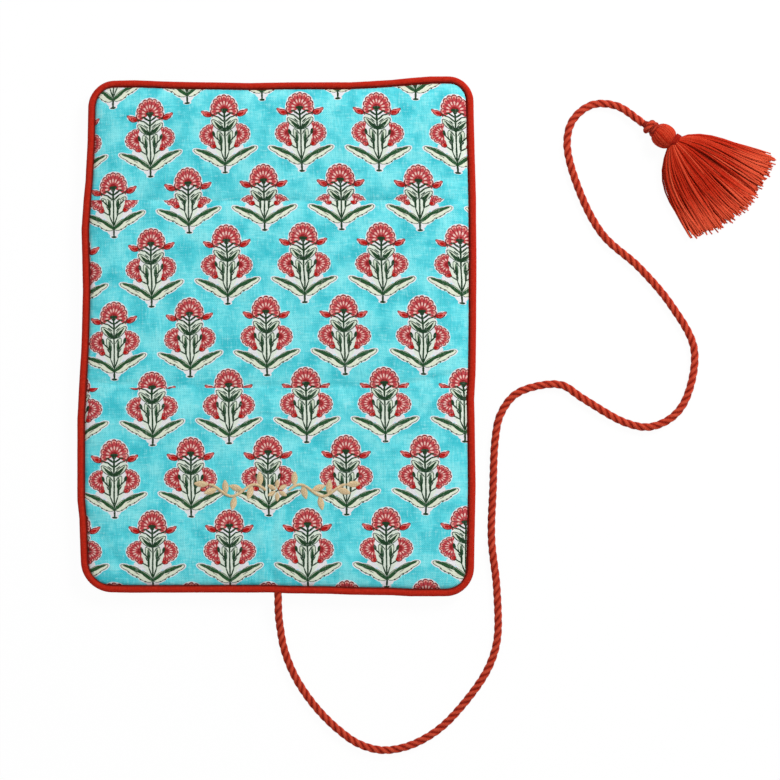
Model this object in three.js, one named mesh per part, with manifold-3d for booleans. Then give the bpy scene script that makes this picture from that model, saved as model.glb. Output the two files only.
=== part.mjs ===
// A quilted cotton jewelry roll, opened flat with its outer face up, with its cord and tassel.
// Millimetres, +Z up. The origin is the middle of the panel, at the height of the surface it lies on.
// +Y points from the cord's edge to the top flap's edge.

import * as THREE from 'three';
import { mergeVertices } from 'three/addons/utils/BufferGeometryUtils.js';
import Module from 'manifold-3d';

// Panel
const PANEL_WIDTH = 210;
const TOP_LENGTH = 64.7;
const MIDDLE_LENGTH = 100.6;
const FRONT_LENGTH = 109.7;
const CORNER_RADIUS = 12;
const FOLD_GAP = 0.8;
const CLEARANCE = 0.3;
const OVERRUN = 1;

// Layers, from the pockets up
const POCKET_HEIGHT = 6.5;
const LINING_THICKNESS = 0.6;
const QUILT_EDGE = 1;
const CROWN_RISE = 2;
const CROWN_REACH = 16;
const FOLD_REACH = 6;
const SHELL_THICKNESS = 0.6;
const EDGE_STEP_SHARES = [0, 0.14, 0.34, 0.62, 1];
const FOLD_STEP_SHARES = [0, 0.42, 1];
const FIELD_STEP = 30;

// Piping
const PIPING_DIAMETER = 3.7;
const PIPING_CLOTH = 0.45;
const PIPING_FLANGE = 5;
const PIPING_SIDES = 14;
const FILLER_SIDES = 8;
const CORNER_STEPS = 6;

// Pockets
const POCKET_MARGIN = 8;
const POCKET_CLOTH = 0.8;
const POCKET_CORNER = 6;
const POCKET_FOLD_MARGIN = 4;
const POCKET_CORNER_STEPS = 4;
const GROOVE_WIDTH = 13;
const FACING_LEDGE = 7.5;
const FACING_FLANGE = 4.2;
const FACING_FOLD_MARGIN = 1;

// Zips
const ZIP_END_MARGIN = 19;
const ZIP_MIDDLE_HEIGHT = 4;
const TAPE_WIDTH = 9.8;
const TAPE_THICKNESS = 0.5;
const TEETH_PITCH = 3;
const TEETH_THICKNESS = 2.2;
const TEETH_REACH = 1.8;
const TEETH_ROOT_SHARE = 0.36;
const TEETH_TIP_SHARE = 0.52;
const ROW_GAP = 1.8;
const ROW_BEAD = 1.1;
const TOP_STOP_LENGTH = 2.4;
const BOTTOM_STOP_LENGTH = 2.2;

// Zip slider and pull
const SLIDER_LENGTH = 9;
const SLIDER_PLATE = 0.75;
const SLIDER_WALL = 0.9;
const SLIDER_TAIL_SHARE = 0.8;
const SLIDER_WEDGE_LENGTH = 3;
const ARCH_LENGTH = 5.2;
const ARCH_WIDTH = 2.4;
const ARCH_THICKNESS = 0.5;
const ARCH_POST = 0.8;
const PULL_AXIS_DROP = 0.6;
const PULL_BAR_RADIUS = 0.33;
const PULL_THICKNESS = 0.66;
const PULL_LENGTH = 22;
const PULL_WIDTH = 5.6;
const PULL_EYE_WIDTH = 3.4;
const PULL_EYE_LENGTH = 3.6;
const PULL_TIP_SHARE = 0.72;
const PULL_STEPS = 5;
const PULL_BAR_SIDES = 8;

// Ring strap and its press stud
const STRAP_WIDTH = 13;
const STRAP_DEPTH = 4.8;
const STRAP_END_MARGIN = 30;
const STRAP_TAB_THICKNESS = 1.4;
const STRAP_TAB_LENGTH = 15;
const STRAP_SHOULDER = 12;
const STRAP_SEWN_LENGTH = 6;
const STRAP_SIDES = 12;
const STRAP_BODY_STEPS = 3;
const STRAP_SWELL_SHARES = [0.35, 0.78];
const STRAP_ROUND_SHARES = [0, 0.5, 0.8, 1];
const STRAP_SQUARENESS_SHARE = 0.7;
const ANCHOR_LENGTH = 14;
const ANCHOR_WIDTH = 17;
const ANCHOR_THICKNESS = 0.8;
const SNAP_RADIUS = 6;
const SNAP_SHEET = 0.7;
const SNAP_SHANK_RADIUS = 0.9;
const SNAP_HEAD_RADIUS = 1.85;
const SNAP_NECK_RADIUS = 1.5;
const SNAP_HEAD_HEIGHT = 0.7;
const SNAP_SOCKET_RADIUS = 4.6;
const SNAP_SOCKET_HEIGHT = 1.5;
const SNAP_POST_RADIUS = 4.2;
const SNAP_POST_SHEET = 0.4;
const SNAP_SIDES = 16;

// Cord and tassel
const CORD_DIAMETER = 4.3;
const CORD_SIDES = 9;
const CORD_STEPS = 76;
const CORD_LIFT = 0.05;
const KNOT_LENGTH = 6.4;
const KNOT_DIAMETER = 7.6;
const KNOT_STEPS = 12;
const KNOT_SIDES = 12;
const KNOT_TURNS = 3;
const KNOT_SWELL_SHARE = 0.6;
const KNOT_GROOVE_SHARE = 0.08;
const HEAD_LENGTH = 11.4;
const HEAD_DIAMETER = 12.8;
const HEAD_STEPS = 8;
const HEAD_SIDES = 16;
const HEAD_START_SHARE = 0.12;
const HEAD_GROOVE_SHARE = 0.07;
const NECK_LENGTH = 3.4;
const NECK_DIAMETER = 10.6;
const NECK_WALL = 1.2;
const NECK_SIDES = 16;
const SKIRT_LENGTH = 53;
const SKIRT_END_WIDTH = 60;
const SKIRT_END_DEPTH = 8.6;
const SKIRT_BELL_WIDTH = 25;
const SKIRT_BELL_DEPTH = 11.8;
const SKIRT_BELL_REACH = 7;
const SKIRT_FLUTES = 15;
const SKIRT_FLUTE_DEPTH = 0.9;
const SKIRT_RING_SHARES = [0, 0.05, 0.12, 0.35, 0.68, 1];
const SKIRT_CURVE_SHARE = 0.13;
const SKIRT_UNEVEN_SHARE = 0.035;
const SKIRT_UNEVEN_TURN = 2.3;
const KNOT_TURN = -30;
const SKIRT_TURN = -40;

const wasm = await Module();
wasm.setup();

// Heights and edges that follow from the sizes above
const PANEL_LENGTH = TOP_LENGTH + MIDDLE_LENGTH + FRONT_LENGTH;
const PANEL_HALF = PANEL_WIDTH / 2;
const PANEL_LOW = -PANEL_LENGTH / 2;
const PANEL_HIGH = PANEL_LENGTH / 2;
const MIDDLE_FOLD = PANEL_LOW + FRONT_LENGTH;
const FLAP_FOLD = PANEL_HIGH - TOP_LENGTH;
const LINING_TOP = POCKET_HEIGHT + LINING_THICKNESS;
const SHELL_LOW = LINING_TOP + QUILT_EDGE + CLEARANCE;
const PIPING_RADIUS = PIPING_DIAMETER / 2;
const PIPING_HEIGHT = LINING_TOP + QUILT_EDGE / 2;
const COVER_INSET = PIPING_DIAMETER + CLEARANCE;
const WADDING_INSET = PIPING_DIAMETER + PIPING_FLANGE + CLEARANCE;
const SECTIONS = {
  front: { low: PANEL_LOW, high: MIDDLE_FOLD - FOLD_GAP / 2, roundLow: true, roundHigh: false },
  middle: {
    low: MIDDLE_FOLD + FOLD_GAP / 2, high: FLAP_FOLD - FOLD_GAP / 2, roundLow: false, roundHigh: false,
  },
  top: { low: FLAP_FOLD + FOLD_GAP / 2, high: PANEL_HIGH, roundLow: false, roundHigh: true },
};

const ZIP_HALF = PANEL_HALF - ZIP_END_MARGIN;
const TAPE_LOW = ZIP_MIDDLE_HEIGHT - TAPE_THICKNESS / 2;
const BEAD_INNER = ROW_GAP / 2 + TEETH_REACH;
const BEAD_OUTER = BEAD_INNER + ROW_BEAD;
const ZIP_SETBACK = FACING_FOLD_MARGIN + FACING_FLANGE + FACING_LEDGE + POCKET_CLOTH + GROOVE_WIDTH / 2;
const SLIDER_INNER = BEAD_OUTER + CLEARANCE;
const SLIDER_CAVITY = TEETH_THICKNESS + 2 * CLEARANCE;
const SLIDER_LOW = ZIP_MIDDLE_HEIGHT - SLIDER_CAVITY / 2 - SLIDER_PLATE;
const SLIDER_REST = -ZIP_HALF + CLEARANCE + SLIDER_LENGTH / 2;
const PULL_AXIS_HEIGHT = SLIDER_LOW - PULL_AXIS_DROP;

const STRAP_RIGHT = PANEL_HALF - STRAP_END_MARGIN;
const STRAP_LEFT = -STRAP_RIGHT;
const STRAP_MIDDLE = STRAP_DEPTH / 2;
const STRAP_LINE = (FLAP_FOLD + PANEL_HIGH) / 2;
const SNAP_PLACE = STRAP_RIGHT - STRAP_TAB_LENGTH / 2;
const TAB_LOW = STRAP_MIDDLE - STRAP_TAB_THICKNESS / 2;
const TAB_TOP = STRAP_MIDDLE + STRAP_TAB_THICKNESS / 2;
const SHANK_HOLE = SNAP_SHANK_RADIUS + CLEARANCE;

const COLORS = {
  print: 0x56cfd6, lining: 0xa8392a, piping: 0xab2d1c, wadding: 0xf1ece0, filler: 0xe6dfd0,
  tape: 0x9c2f22, teeth: 0xb0402e, metal: 0xb89a5a, cord: 0xb1402c, tassel: 0xba3d27, strap: 0xa8392a,
};

function finish(color, roughness, metalness = 0) {
  return new THREE.MeshStandardMaterial({ color, roughness, metalness });
}

function mesh(name, geometry, material) {
  const piece = new THREE.Mesh(geometry, material);
  piece.name = name;
  return piece;
}

// Merges shared corners, and turns the surface to face out.
function closed(geometry) {
  const bare = geometry.index ? geometry.toNonIndexed() : geometry.clone();
  bare.deleteAttribute('normal');
  bare.deleteAttribute('uv');
  const merged = mergeVertices(bare, 1e-4);
  const place = merged.attributes.position;
  const order = merged.index.array;
  const kept = [];
  let volume = 0;
  const [a, b, c] = [new THREE.Vector3(), new THREE.Vector3(), new THREE.Vector3()];
  for (let i = 0; i < order.length; i += 3) {
    const [i0, i1, i2] = [order[i], order[i + 1], order[i + 2]];
    if (i0 === i1 || i1 === i2 || i2 === i0) continue;
    a.fromBufferAttribute(place, i0);
    b.fromBufferAttribute(place, i1);
    c.fromBufferAttribute(place, i2);
    volume += a.dot(b.clone().cross(c));
    kept.push(i0, i1, i2);
  }
  if (volume < 0) kept.reverse();
  merged.setIndex(kept);
  return merged;
}

function toSolid(geometry) {
  const shape = closed(geometry);
  const vertProperties = new Float32Array(shape.attributes.position.array);
  const triVerts = new Uint32Array(shape.index.array);
  return new wasm.Manifold(new wasm.Mesh({ numProp: 3, vertProperties, triVerts }));
}

function toGeometry(solid) {
  const { vertProperties, triVerts, numProp } = solid.getMesh();
  const count = vertProperties.length / numProp;
  const places = new Float32Array(count * 3);
  for (let i = 0; i < count; i += 1) {
    places.set(vertProperties.subarray(i * numProp, i * numProp + 3), i * 3);
  }
  const geometry = new THREE.BufferGeometry();
  geometry.setAttribute('position', new THREE.BufferAttribute(places, 3));
  geometry.setIndex([...triVerts]);
  return closed(geometry);
}

function surface(points, triangles) {
  const geometry = new THREE.BufferGeometry();
  geometry.setAttribute('position', new THREE.Float32BufferAttribute(points.flat(), 3));
  geometry.setIndex(triangles.flat());
  return closed(geometry);
}

// A flat outline in X and Y, raised from one height to another.
function slab(outline, low, high) {
  const geometry = new THREE.ExtrudeGeometry(outline, { depth: high - low, bevelEnabled: false });
  return geometry.translate(0, 0, low);
}

function box(x, y, z) {
  const geometry = new THREE.BoxGeometry(x[1] - x[0], y[1] - y[0], z[1] - z[0]);
  return geometry.translate((x[0] + x[1]) / 2, (y[0] + y[1]) / 2, (z[0] + z[1]) / 2);
}

// A turned shape about a vertical axis, from pairs of radius and height.
function turned(profile, sides) {
  const points = profile.map(([radius, height]) => new THREE.Vector2(radius, height));
  return new THREE.LatheGeometry(points, sides).rotateX(Math.PI / 2);
}

// Joins rings of points that all have the same number of points, with flat or pointed ends.
function loft(rings) {
  const sides = rings[0].length;
  const points = rings.flat();
  const triangles = [];
  for (let ring = 0; ring + 1 < rings.length; ring += 1) {
    for (let side = 0; side < sides; side += 1) {
      const next = (side + 1) % sides;
      const a = ring * sides + side;
      const b = ring * sides + next;
      triangles.push([a, b, b + sides], [a, b + sides, a + sides]);
    }
  }
  const last = (rings.length - 1) * sides;
  for (let side = 1; side + 1 < sides; side += 1) {
    triangles.push([0, side + 1, side], [last, last + side, last + side + 1]);
  }
  return surface(points, triangles);
}

function roundedOutline(left, right, low, high, radii, steps) {
  const outline = [];
  const corners = [
    [left, low, 1, 1, Math.PI, radii.low],
    [right, low, -1, 1, 1.5 * Math.PI, radii.low],
    [right, high, -1, -1, 0, radii.high],
    [left, high, 1, -1, Math.PI / 2, radii.high],
  ];
  for (const [x, y, inX, inY, start, radius] of corners) {
    if (radius === 0) {
      outline.push(new THREE.Vector2(x, y));
      continue;
    }
    for (let step = 0; step <= steps; step += 1) {
      const angle = start + (step / steps) * (Math.PI / 2);
      outline.push(new THREE.Vector2(
        x + inX * radius + radius * Math.cos(angle),
        y + inY * radius + radius * Math.sin(angle),
      ));
    }
  }
  return outline;
}

// The outline of a section's cloth, drawn in from the panel's edge but not from the folds.
function sectionOutline(section, inset) {
  const radius = Math.max(CORNER_RADIUS - inset, CORNER_RADIUS / 4);
  return new THREE.Shape(roundedOutline(
    -PANEL_HALF + inset,
    PANEL_HALF - inset,
    section.low + (section.roundLow ? inset : 0),
    section.high - (section.roundHigh ? inset : 0),
    { low: section.roundLow ? radius : 0, high: section.roundHigh ? radius : 0 },
    CORNER_STEPS,
  ));
}

function rise(distance, reach) {
  const share = Math.min(Math.max(distance / reach, 0), 1);
  return 1 - (1 - share) ** 2;
}

// How far the quilt swells above its sewn edges at a place on a section.
function crown(section, x, y) {
  const fromSide = rise(PANEL_HALF - COVER_INSET - Math.abs(x), CROWN_REACH);
  const lowReach = section.roundLow ? CROWN_REACH : FOLD_REACH;
  const highReach = section.roundHigh ? CROWN_REACH : FOLD_REACH;
  const fromLow = rise(y - section.low - (section.roundLow ? COVER_INSET : 0), lowReach);
  const fromHigh = rise(section.high - (section.roundHigh ? COVER_INSET : 0) - y, highReach);
  return CROWN_RISE * fromSide * fromLow * fromHigh;
}

function stations(low, high, lowShares, lowReach, highShares, highReach) {
  const field = high - highReach - (low + lowReach);
  const cells = Math.max(1, Math.round(field / FIELD_STEP));
  const places = lowShares.map((share) => low + share * lowReach);
  for (let cell = 1; cell < cells; cell += 1) places.push(low + lowReach + (cell / cells) * field);
  return places.concat([...highShares].reverse().map((share) => high - share * highReach));
}

// A sheet or pad over a section, between two height functions of X and Y.
function quilted(section, inset, under, over) {
  const left = -PANEL_HALF + COVER_INSET;
  const low = section.low + (section.roundLow ? COVER_INSET : 0);
  const high = section.high - (section.roundHigh ? COVER_INSET : 0);
  const columns = stations(left, -left, EDGE_STEP_SHARES, CROWN_REACH, EDGE_STEP_SHARES, CROWN_REACH);
  const rows = stations(
    low,
    high,
    section.roundLow ? EDGE_STEP_SHARES : FOLD_STEP_SHARES,
    section.roundLow ? CROWN_REACH : FOLD_REACH,
    section.roundHigh ? EDGE_STEP_SHARES : FOLD_STEP_SHARES,
    section.roundHigh ? CROWN_REACH : FOLD_REACH,
  );
  const points = [];
  for (const height of [under, over]) {
    for (const y of rows) {
      for (const x of columns) points.push([x, y, height(x, y)]);
    }
  }
  const wide = columns.length;
  const layer = wide * rows.length;
  const triangles = [];
  const quad = (a, b, c, d) => triangles.push([a, b, c], [a, c, d]);
  for (let row = 0; row + 1 < rows.length; row += 1) {
    for (let column = 0; column + 1 < wide; column += 1) {
      const a = row * wide + column;
      quad(a, a + wide, a + wide + 1, a + 1);
      quad(layer + a, layer + a + 1, layer + a + wide + 1, layer + a + wide);
    }
  }
  for (let column = 0; column + 1 < wide; column += 1) {
    const far = (rows.length - 1) * wide + column;
    quad(column, column + 1, layer + column + 1, layer + column);
    quad(far + 1, far, layer + far, layer + far + 1);
  }
  for (let row = 0; row + 1 < rows.length; row += 1) {
    const a = row * wide;
    const b = a + wide - 1;
    quad(a + wide, a, layer + a, layer + a + wide);
    quad(b, b + wide, layer + b + wide, layer + b);
  }
  const whole = toSolid(surface(points, triangles));
  const top = SHELL_LOW + CROWN_RISE + SHELL_THICKNESS + OVERRUN;
  return whole.intersect(toSolid(slab(sectionOutline(section, inset), 0, top)));
}

function shell(section) {
  const under = (x, y) => SHELL_LOW + crown(section, x, y);
  const over = (x, y) => under(x, y) + SHELL_THICKNESS;
  return toGeometry(quilted(section, COVER_INSET, under, over));
}

function wadding(section) {
  const under = () => LINING_TOP;
  const over = (x, y) => LINING_TOP + QUILT_EDGE + crown(section, x, y);
  return quilted(section, WADDING_INSET, under, over);
}

function lining(section) {
  return slab(sectionOutline(section, COVER_INSET), POCKET_HEIGHT, LINING_TOP);
}

// The piping's route round a section: places and the outward direction at each.
function pipingRoute(section) {
  const left = -PANEL_HALF + PIPING_RADIUS;
  const radius = CORNER_RADIUS - PIPING_RADIUS;
  const end = section.roundLow ? section.high : section.low;
  const edge = section.roundLow ? section.low + PIPING_RADIUS : section.high - PIPING_RADIUS;
  const toEdge = section.roundLow ? -1 : 1;
  const route = [{ x: left, y: end, outX: -1, outY: 0 }];
  for (const side of [-1, 1]) {
    for (let step = 0; step <= CORNER_STEPS; step += 1) {
      const share = side < 0 ? step / CORNER_STEPS : 1 - step / CORNER_STEPS;
      const angle = share * (Math.PI / 2);
      const [outX, outY] = [side * Math.cos(angle), toEdge * Math.sin(angle)];
      route.push({
        x: side * (-left - radius) + radius * outX,
        y: edge - toEdge * radius + radius * outY,
        outX,
        outY,
      });
    }
  }
  route.push({ x: -left, y: end, outX: 1, outY: 0 });
  return route;
}

function sideRoute(section, side) {
  const x = side * (PANEL_HALF - PIPING_RADIUS);
  return [
    { x, y: section.low, outX: side, outY: 0 },
    { x, y: section.high, outX: side, outY: 0 },
  ];
}

function ringPoints(radius, sides) {
  return Array.from({ length: sides }, (_, side) => {
    const angle = ((side + 0.5) / sides) * 2 * Math.PI;
    return new THREE.Vector2(radius * Math.cos(angle), radius * Math.sin(angle));
  });
}

// Sweeps an outline, with an optional hole, along a level route. Its x is outward and its y is up.
function swept(route, outline, hole) {
  const loops = hole.length ? [outline, hole] : [outline];
  const section = loops.flat();
  const points = route.flatMap(({ x, y, outX, outY }) => (
    section.map((point) => [x + point.x * outX, y + point.x * outY, PIPING_HEIGHT + point.y])
  ));
  const triangles = [];
  let start = 0;
  for (const loop of loops) {
    for (let ring = 0; ring + 1 < route.length; ring += 1) {
      for (let side = 0; side < loop.length; side += 1) {
        const a = ring * section.length + start + side;
        const b = ring * section.length + start + ((side + 1) % loop.length);
        const wall = [[a, b, b + section.length], [a, b + section.length, a + section.length]];
        triangles.push(...(start ? wall.map((t) => t.reverse()) : wall));
      }
    }
    start += loop.length;
  }
  const last = (route.length - 1) * section.length;
  for (const [a, b, c] of THREE.ShapeUtils.triangulateShape(outline, hole.length ? [hole] : [])) {
    triangles.push([a, c, b], [last + a, last + b, last + c]);
  }
  return surface(points, triangles);
}

// Bias cloth round the filler cord, with the flange that is sewn into the seam.
function pipingOutline() {
  const half = QUILT_EDGE / 2;
  const mouth = Math.asin(half / PIPING_RADIUS);
  const outline = [];
  for (let side = 0; side < PIPING_SIDES; side += 1) {
    const angle = -Math.PI + mouth + (side / (PIPING_SIDES - 1)) * 2 * (Math.PI - mouth);
    outline.push(new THREE.Vector2(PIPING_RADIUS * Math.cos(angle), PIPING_RADIUS * Math.sin(angle)));
  }
  const reach = PIPING_RADIUS + PIPING_FLANGE;
  outline.push(new THREE.Vector2(-reach, half), new THREE.Vector2(-reach, -half));
  return outline;
}

function piping(route) {
  return swept(route, pipingOutline(), ringPoints(PIPING_RADIUS - PIPING_CLOTH, FILLER_SIDES));
}

function filler(route) {
  return swept(route, ringPoints(PIPING_RADIUS - PIPING_CLOTH - CLEARANCE, FILLER_SIDES), []);
}

// The pocket is a shallow tray of cloth. Its zip side stops under the zip tape.
function pocketPanel(section, zipLine) {
  const half = PANEL_HALF - POCKET_MARGIN;
  const low = section.low + (section.roundLow ? POCKET_MARGIN : POCKET_FOLD_MARGIN);
  const high = zipLine - GROOVE_WIDTH / 2;
  const outline = roundedOutline(
    -half,
    half,
    low,
    high,
    { low: POCKET_CORNER, high: 0 },
    POCKET_CORNER_STEPS,
  );
  const inner = roundedOutline(
    -half + POCKET_CLOTH,
    half - POCKET_CLOTH,
    low + POCKET_CLOTH,
    high - POCKET_CLOTH,
    { low: POCKET_CORNER - POCKET_CLOTH, high: 0 },
    POCKET_CORNER_STEPS,
  );
  const outer = toSolid(slab(new THREE.Shape(outline), 0, POCKET_HEIGHT));
  const cavity = toSolid(slab(new THREE.Shape(inner), POCKET_CLOTH, POCKET_HEIGHT + OVERRUN));
  const mouth = toSolid(box(
    [-half + POCKET_CLOTH, half - POCKET_CLOTH],
    [high - 2 * POCKET_CLOTH, high + OVERRUN],
    [TAPE_LOW, POCKET_HEIGHT + OVERRUN],
  ));
  return toGeometry(outer.subtract(cavity).subtract(mouth));
}

// A folded strip: a ledge under the far tape, a wall up to the lining, and a flange sewn to it.
function pocketFacing(zipLine) {
  const half = PANEL_HALF - POCKET_MARGIN;
  const near = zipLine + GROOVE_WIDTH / 2;
  const wall = near + FACING_LEDGE;
  const far = wall + POCKET_CLOTH + FACING_FLANGE;
  const [ledge, flange] = [TAPE_LOW - POCKET_CLOTH, POCKET_HEIGHT - POCKET_CLOTH];
  const profile = new THREE.Shape([
    new THREE.Vector2(near, ledge),
    new THREE.Vector2(wall + POCKET_CLOTH, ledge),
    new THREE.Vector2(wall + POCKET_CLOTH, flange),
    new THREE.Vector2(far, flange),
    new THREE.Vector2(far, POCKET_HEIGHT),
    new THREE.Vector2(wall, POCKET_HEIGHT),
    new THREE.Vector2(wall, TAPE_LOW),
    new THREE.Vector2(near, TAPE_LOW),
  ]);
  const strip = new THREE.ExtrudeGeometry(profile, { depth: 2 * half, bevelEnabled: false });
  return strip.rotateX(Math.PI / 2).rotateZ(Math.PI / 2).translate(-half, 0, 0);
}

function zipTape(side) {
  const half = PANEL_HALF - POCKET_MARGIN - POCKET_CLOTH - CLEARANCE;
  const edges = [side * BEAD_OUTER, side * (BEAD_OUTER + TAPE_WIDTH)].sort((a, b) => a - b);
  return box([-half, half], edges, [TAPE_LOW, TAPE_LOW + TAPE_THICKNESS]);
}

// One row of teeth: a bead along the tape's edge, teeth that point at the other row, and a top stop.
function zipRow(side) {
  const [tip, root, back] = [ROW_GAP / 2, BEAD_INNER, BEAD_OUTER].map((y) => side * y);
  const end = ZIP_HALF - TOP_STOP_LENGTH;
  const count = Math.floor((2 * ZIP_HALF - TOP_STOP_LENGTH) / TEETH_PITCH) - 1;
  const shift = side > 0 ? TEETH_PITCH / 2 : 0;
  const outline = [new THREE.Vector2(-ZIP_HALF, back), new THREE.Vector2(-ZIP_HALF, root)];
  for (let tooth = 0; tooth < count; tooth += 1) {
    const middle = -ZIP_HALF + shift + (tooth + 0.5) * TEETH_PITCH;
    const neck = (TEETH_ROOT_SHARE * TEETH_PITCH) / 2;
    const head = (TEETH_TIP_SHARE * TEETH_PITCH) / 2;
    outline.push(
      new THREE.Vector2(middle - neck, root),
      new THREE.Vector2(middle - head, tip),
      new THREE.Vector2(middle + head, tip),
      new THREE.Vector2(middle + neck, root),
    );
  }
  outline.push(
    new THREE.Vector2(end, root),
    new THREE.Vector2(end, tip),
    new THREE.Vector2(ZIP_HALF, tip),
    new THREE.Vector2(ZIP_HALF, back),
  );
  const half = TEETH_THICKNESS / 2;
  return slab(new THREE.Shape(outline), ZIP_MIDDLE_HEIGHT - half, ZIP_MIDDLE_HEIGHT + half);
}

function zipStop() {
  const end = -ZIP_HALF - CLEARANCE;
  const half = TEETH_THICKNESS / 2;
  return box(
    [end - BOTTOM_STOP_LENGTH, end],
    [-BEAD_OUTER + CLEARANCE, BEAD_OUTER - CLEARANCE],
    [ZIP_MIDDLE_HEIGHT - half, ZIP_MIDDLE_HEIGHT + half],
  );
}

// The slider, with its middle at X zero: two plates on a wedge, side walls with a slot for each tape,
// and an arch under it for the pull.
function zipSlider() {
  const half = SLIDER_LENGTH / 2;
  const outer = SLIDER_INNER + SLIDER_WALL;
  const chamfer = outer * (1 - SLIDER_TAIL_SHARE);
  const outline = new THREE.Shape([
    new THREE.Vector2(-half, -outer + chamfer),
    new THREE.Vector2(-half + chamfer, -outer),
    new THREE.Vector2(half, -outer),
    new THREE.Vector2(half, outer),
    new THREE.Vector2(-half + chamfer, outer),
    new THREE.Vector2(-half, outer - chamfer),
  ]);
  const top = 2 * ZIP_MIDDLE_HEIGHT - SLIDER_LOW;
  const [floor, roof] = [SLIDER_LOW + SLIDER_PLATE, top - SLIDER_PLATE];
  const [before, after] = [-half - OVERRUN, half + OVERRUN];
  const tunnel = box([before, after], [-SLIDER_INNER, SLIDER_INNER], [floor, roof]);
  const slotHalf = TAPE_THICKNESS / 2 + CLEARANCE;
  const slot = box(
    [before, after],
    [-outer - OVERRUN, outer + OVERRUN],
    [ZIP_MIDDLE_HEIGHT - slotHalf, ZIP_MIDDLE_HEIGHT + slotHalf],
  );
  const wedgeHalf = ROW_GAP / 2 - CLEARANCE;
  const wedge = slab(new THREE.Shape([
    new THREE.Vector2(half - SLIDER_WEDGE_LENGTH, 0),
    new THREE.Vector2(half - SLIDER_WEDGE_LENGTH / 3, -wedgeHalf),
    new THREE.Vector2(half - SLIDER_PLATE / 2, -wedgeHalf),
    new THREE.Vector2(half - SLIDER_PLATE / 2, wedgeHalf),
    new THREE.Vector2(half - SLIDER_WEDGE_LENGTH / 3, wedgeHalf),
  ]), floor - SLIDER_PLATE / 2, roof + SLIDER_PLATE / 2);
  const archLow = PULL_AXIS_HEIGHT - PULL_AXIS_DROP - ARCH_THICKNESS;
  const arch = box(
    [-ARCH_LENGTH / 2, ARCH_LENGTH / 2],
    [-ARCH_WIDTH / 2, ARCH_WIDTH / 2],
    [archLow, SLIDER_LOW + SLIDER_PLATE / 2],
  );
  const eye = box(
    [-ARCH_LENGTH / 2 + ARCH_POST, ARCH_LENGTH / 2 - ARCH_POST],
    [-ARCH_WIDTH, ARCH_WIDTH],
    [archLow + ARCH_THICKNESS, SLIDER_LOW],
  );
  const plates = toSolid(slab(outline, SLIDER_LOW, top)).subtract(toSolid(tunnel)).subtract(toSolid(slot));
  return toGeometry(plates.add(toSolid(wedge)).add(toSolid(arch).subtract(toSolid(eye))));
}

// The pull lies along -X from its bar, which turns inside the slider's arch. Its bar is on the origin.
function zipPull() {
  const [half, eyeHalf] = [PULL_WIDTH / 2, PULL_EYE_WIDTH / 2];
  const neck = -PULL_EYE_LENGTH - PULL_WIDTH / 4;
  const tipRadius = half * PULL_TIP_SHARE;
  const outline = new THREE.Shape();
  outline.moveTo(0, half - PULL_BAR_RADIUS);
  outline.lineTo(0, -half + PULL_BAR_RADIUS);
  outline.lineTo(neck, -half);
  outline.lineTo(-PULL_LENGTH + tipRadius, -tipRadius);
  outline.absarc(-PULL_LENGTH + tipRadius, 0, tipRadius, -Math.PI / 2, Math.PI / 2, true);
  outline.lineTo(neck, half);
  outline.closePath();
  const geometry = new THREE.ExtrudeGeometry(outline, {
    depth: PULL_THICKNESS, bevelEnabled: false, curveSegments: PULL_STEPS,
  }).translate(0, 0, -PULL_THICKNESS / 2);
  const eye = box(
    [-PULL_EYE_LENGTH, PULL_BAR_RADIUS + OVERRUN],
    [-eyeHalf, eyeHalf],
    [-PULL_THICKNESS, PULL_THICKNESS],
  );
  const barLength = PULL_WIDTH - 2 * PULL_BAR_RADIUS;
  const bar = new THREE.CylinderGeometry(PULL_BAR_RADIUS, PULL_BAR_RADIUS, barLength, PULL_BAR_SIDES);
  return toGeometry(toSolid(geometry).subtract(toSolid(eye)).add(toSolid(bar)));
}

function ovalRing(x, middle, width, depth) {
  return Array.from({ length: STRAP_SIDES }, (_, side) => {
    const angle = ((side + 0.5) / STRAP_SIDES) * 2 * Math.PI;
    const square = (value) => Math.sign(value) * Math.abs(value) ** STRAP_SQUARENESS_SHARE;
    const z = (depth / 2) * square(Math.sin(angle));
    return [x, (width / 2) * square(Math.cos(angle)), middle + z];
  });
}

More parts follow.
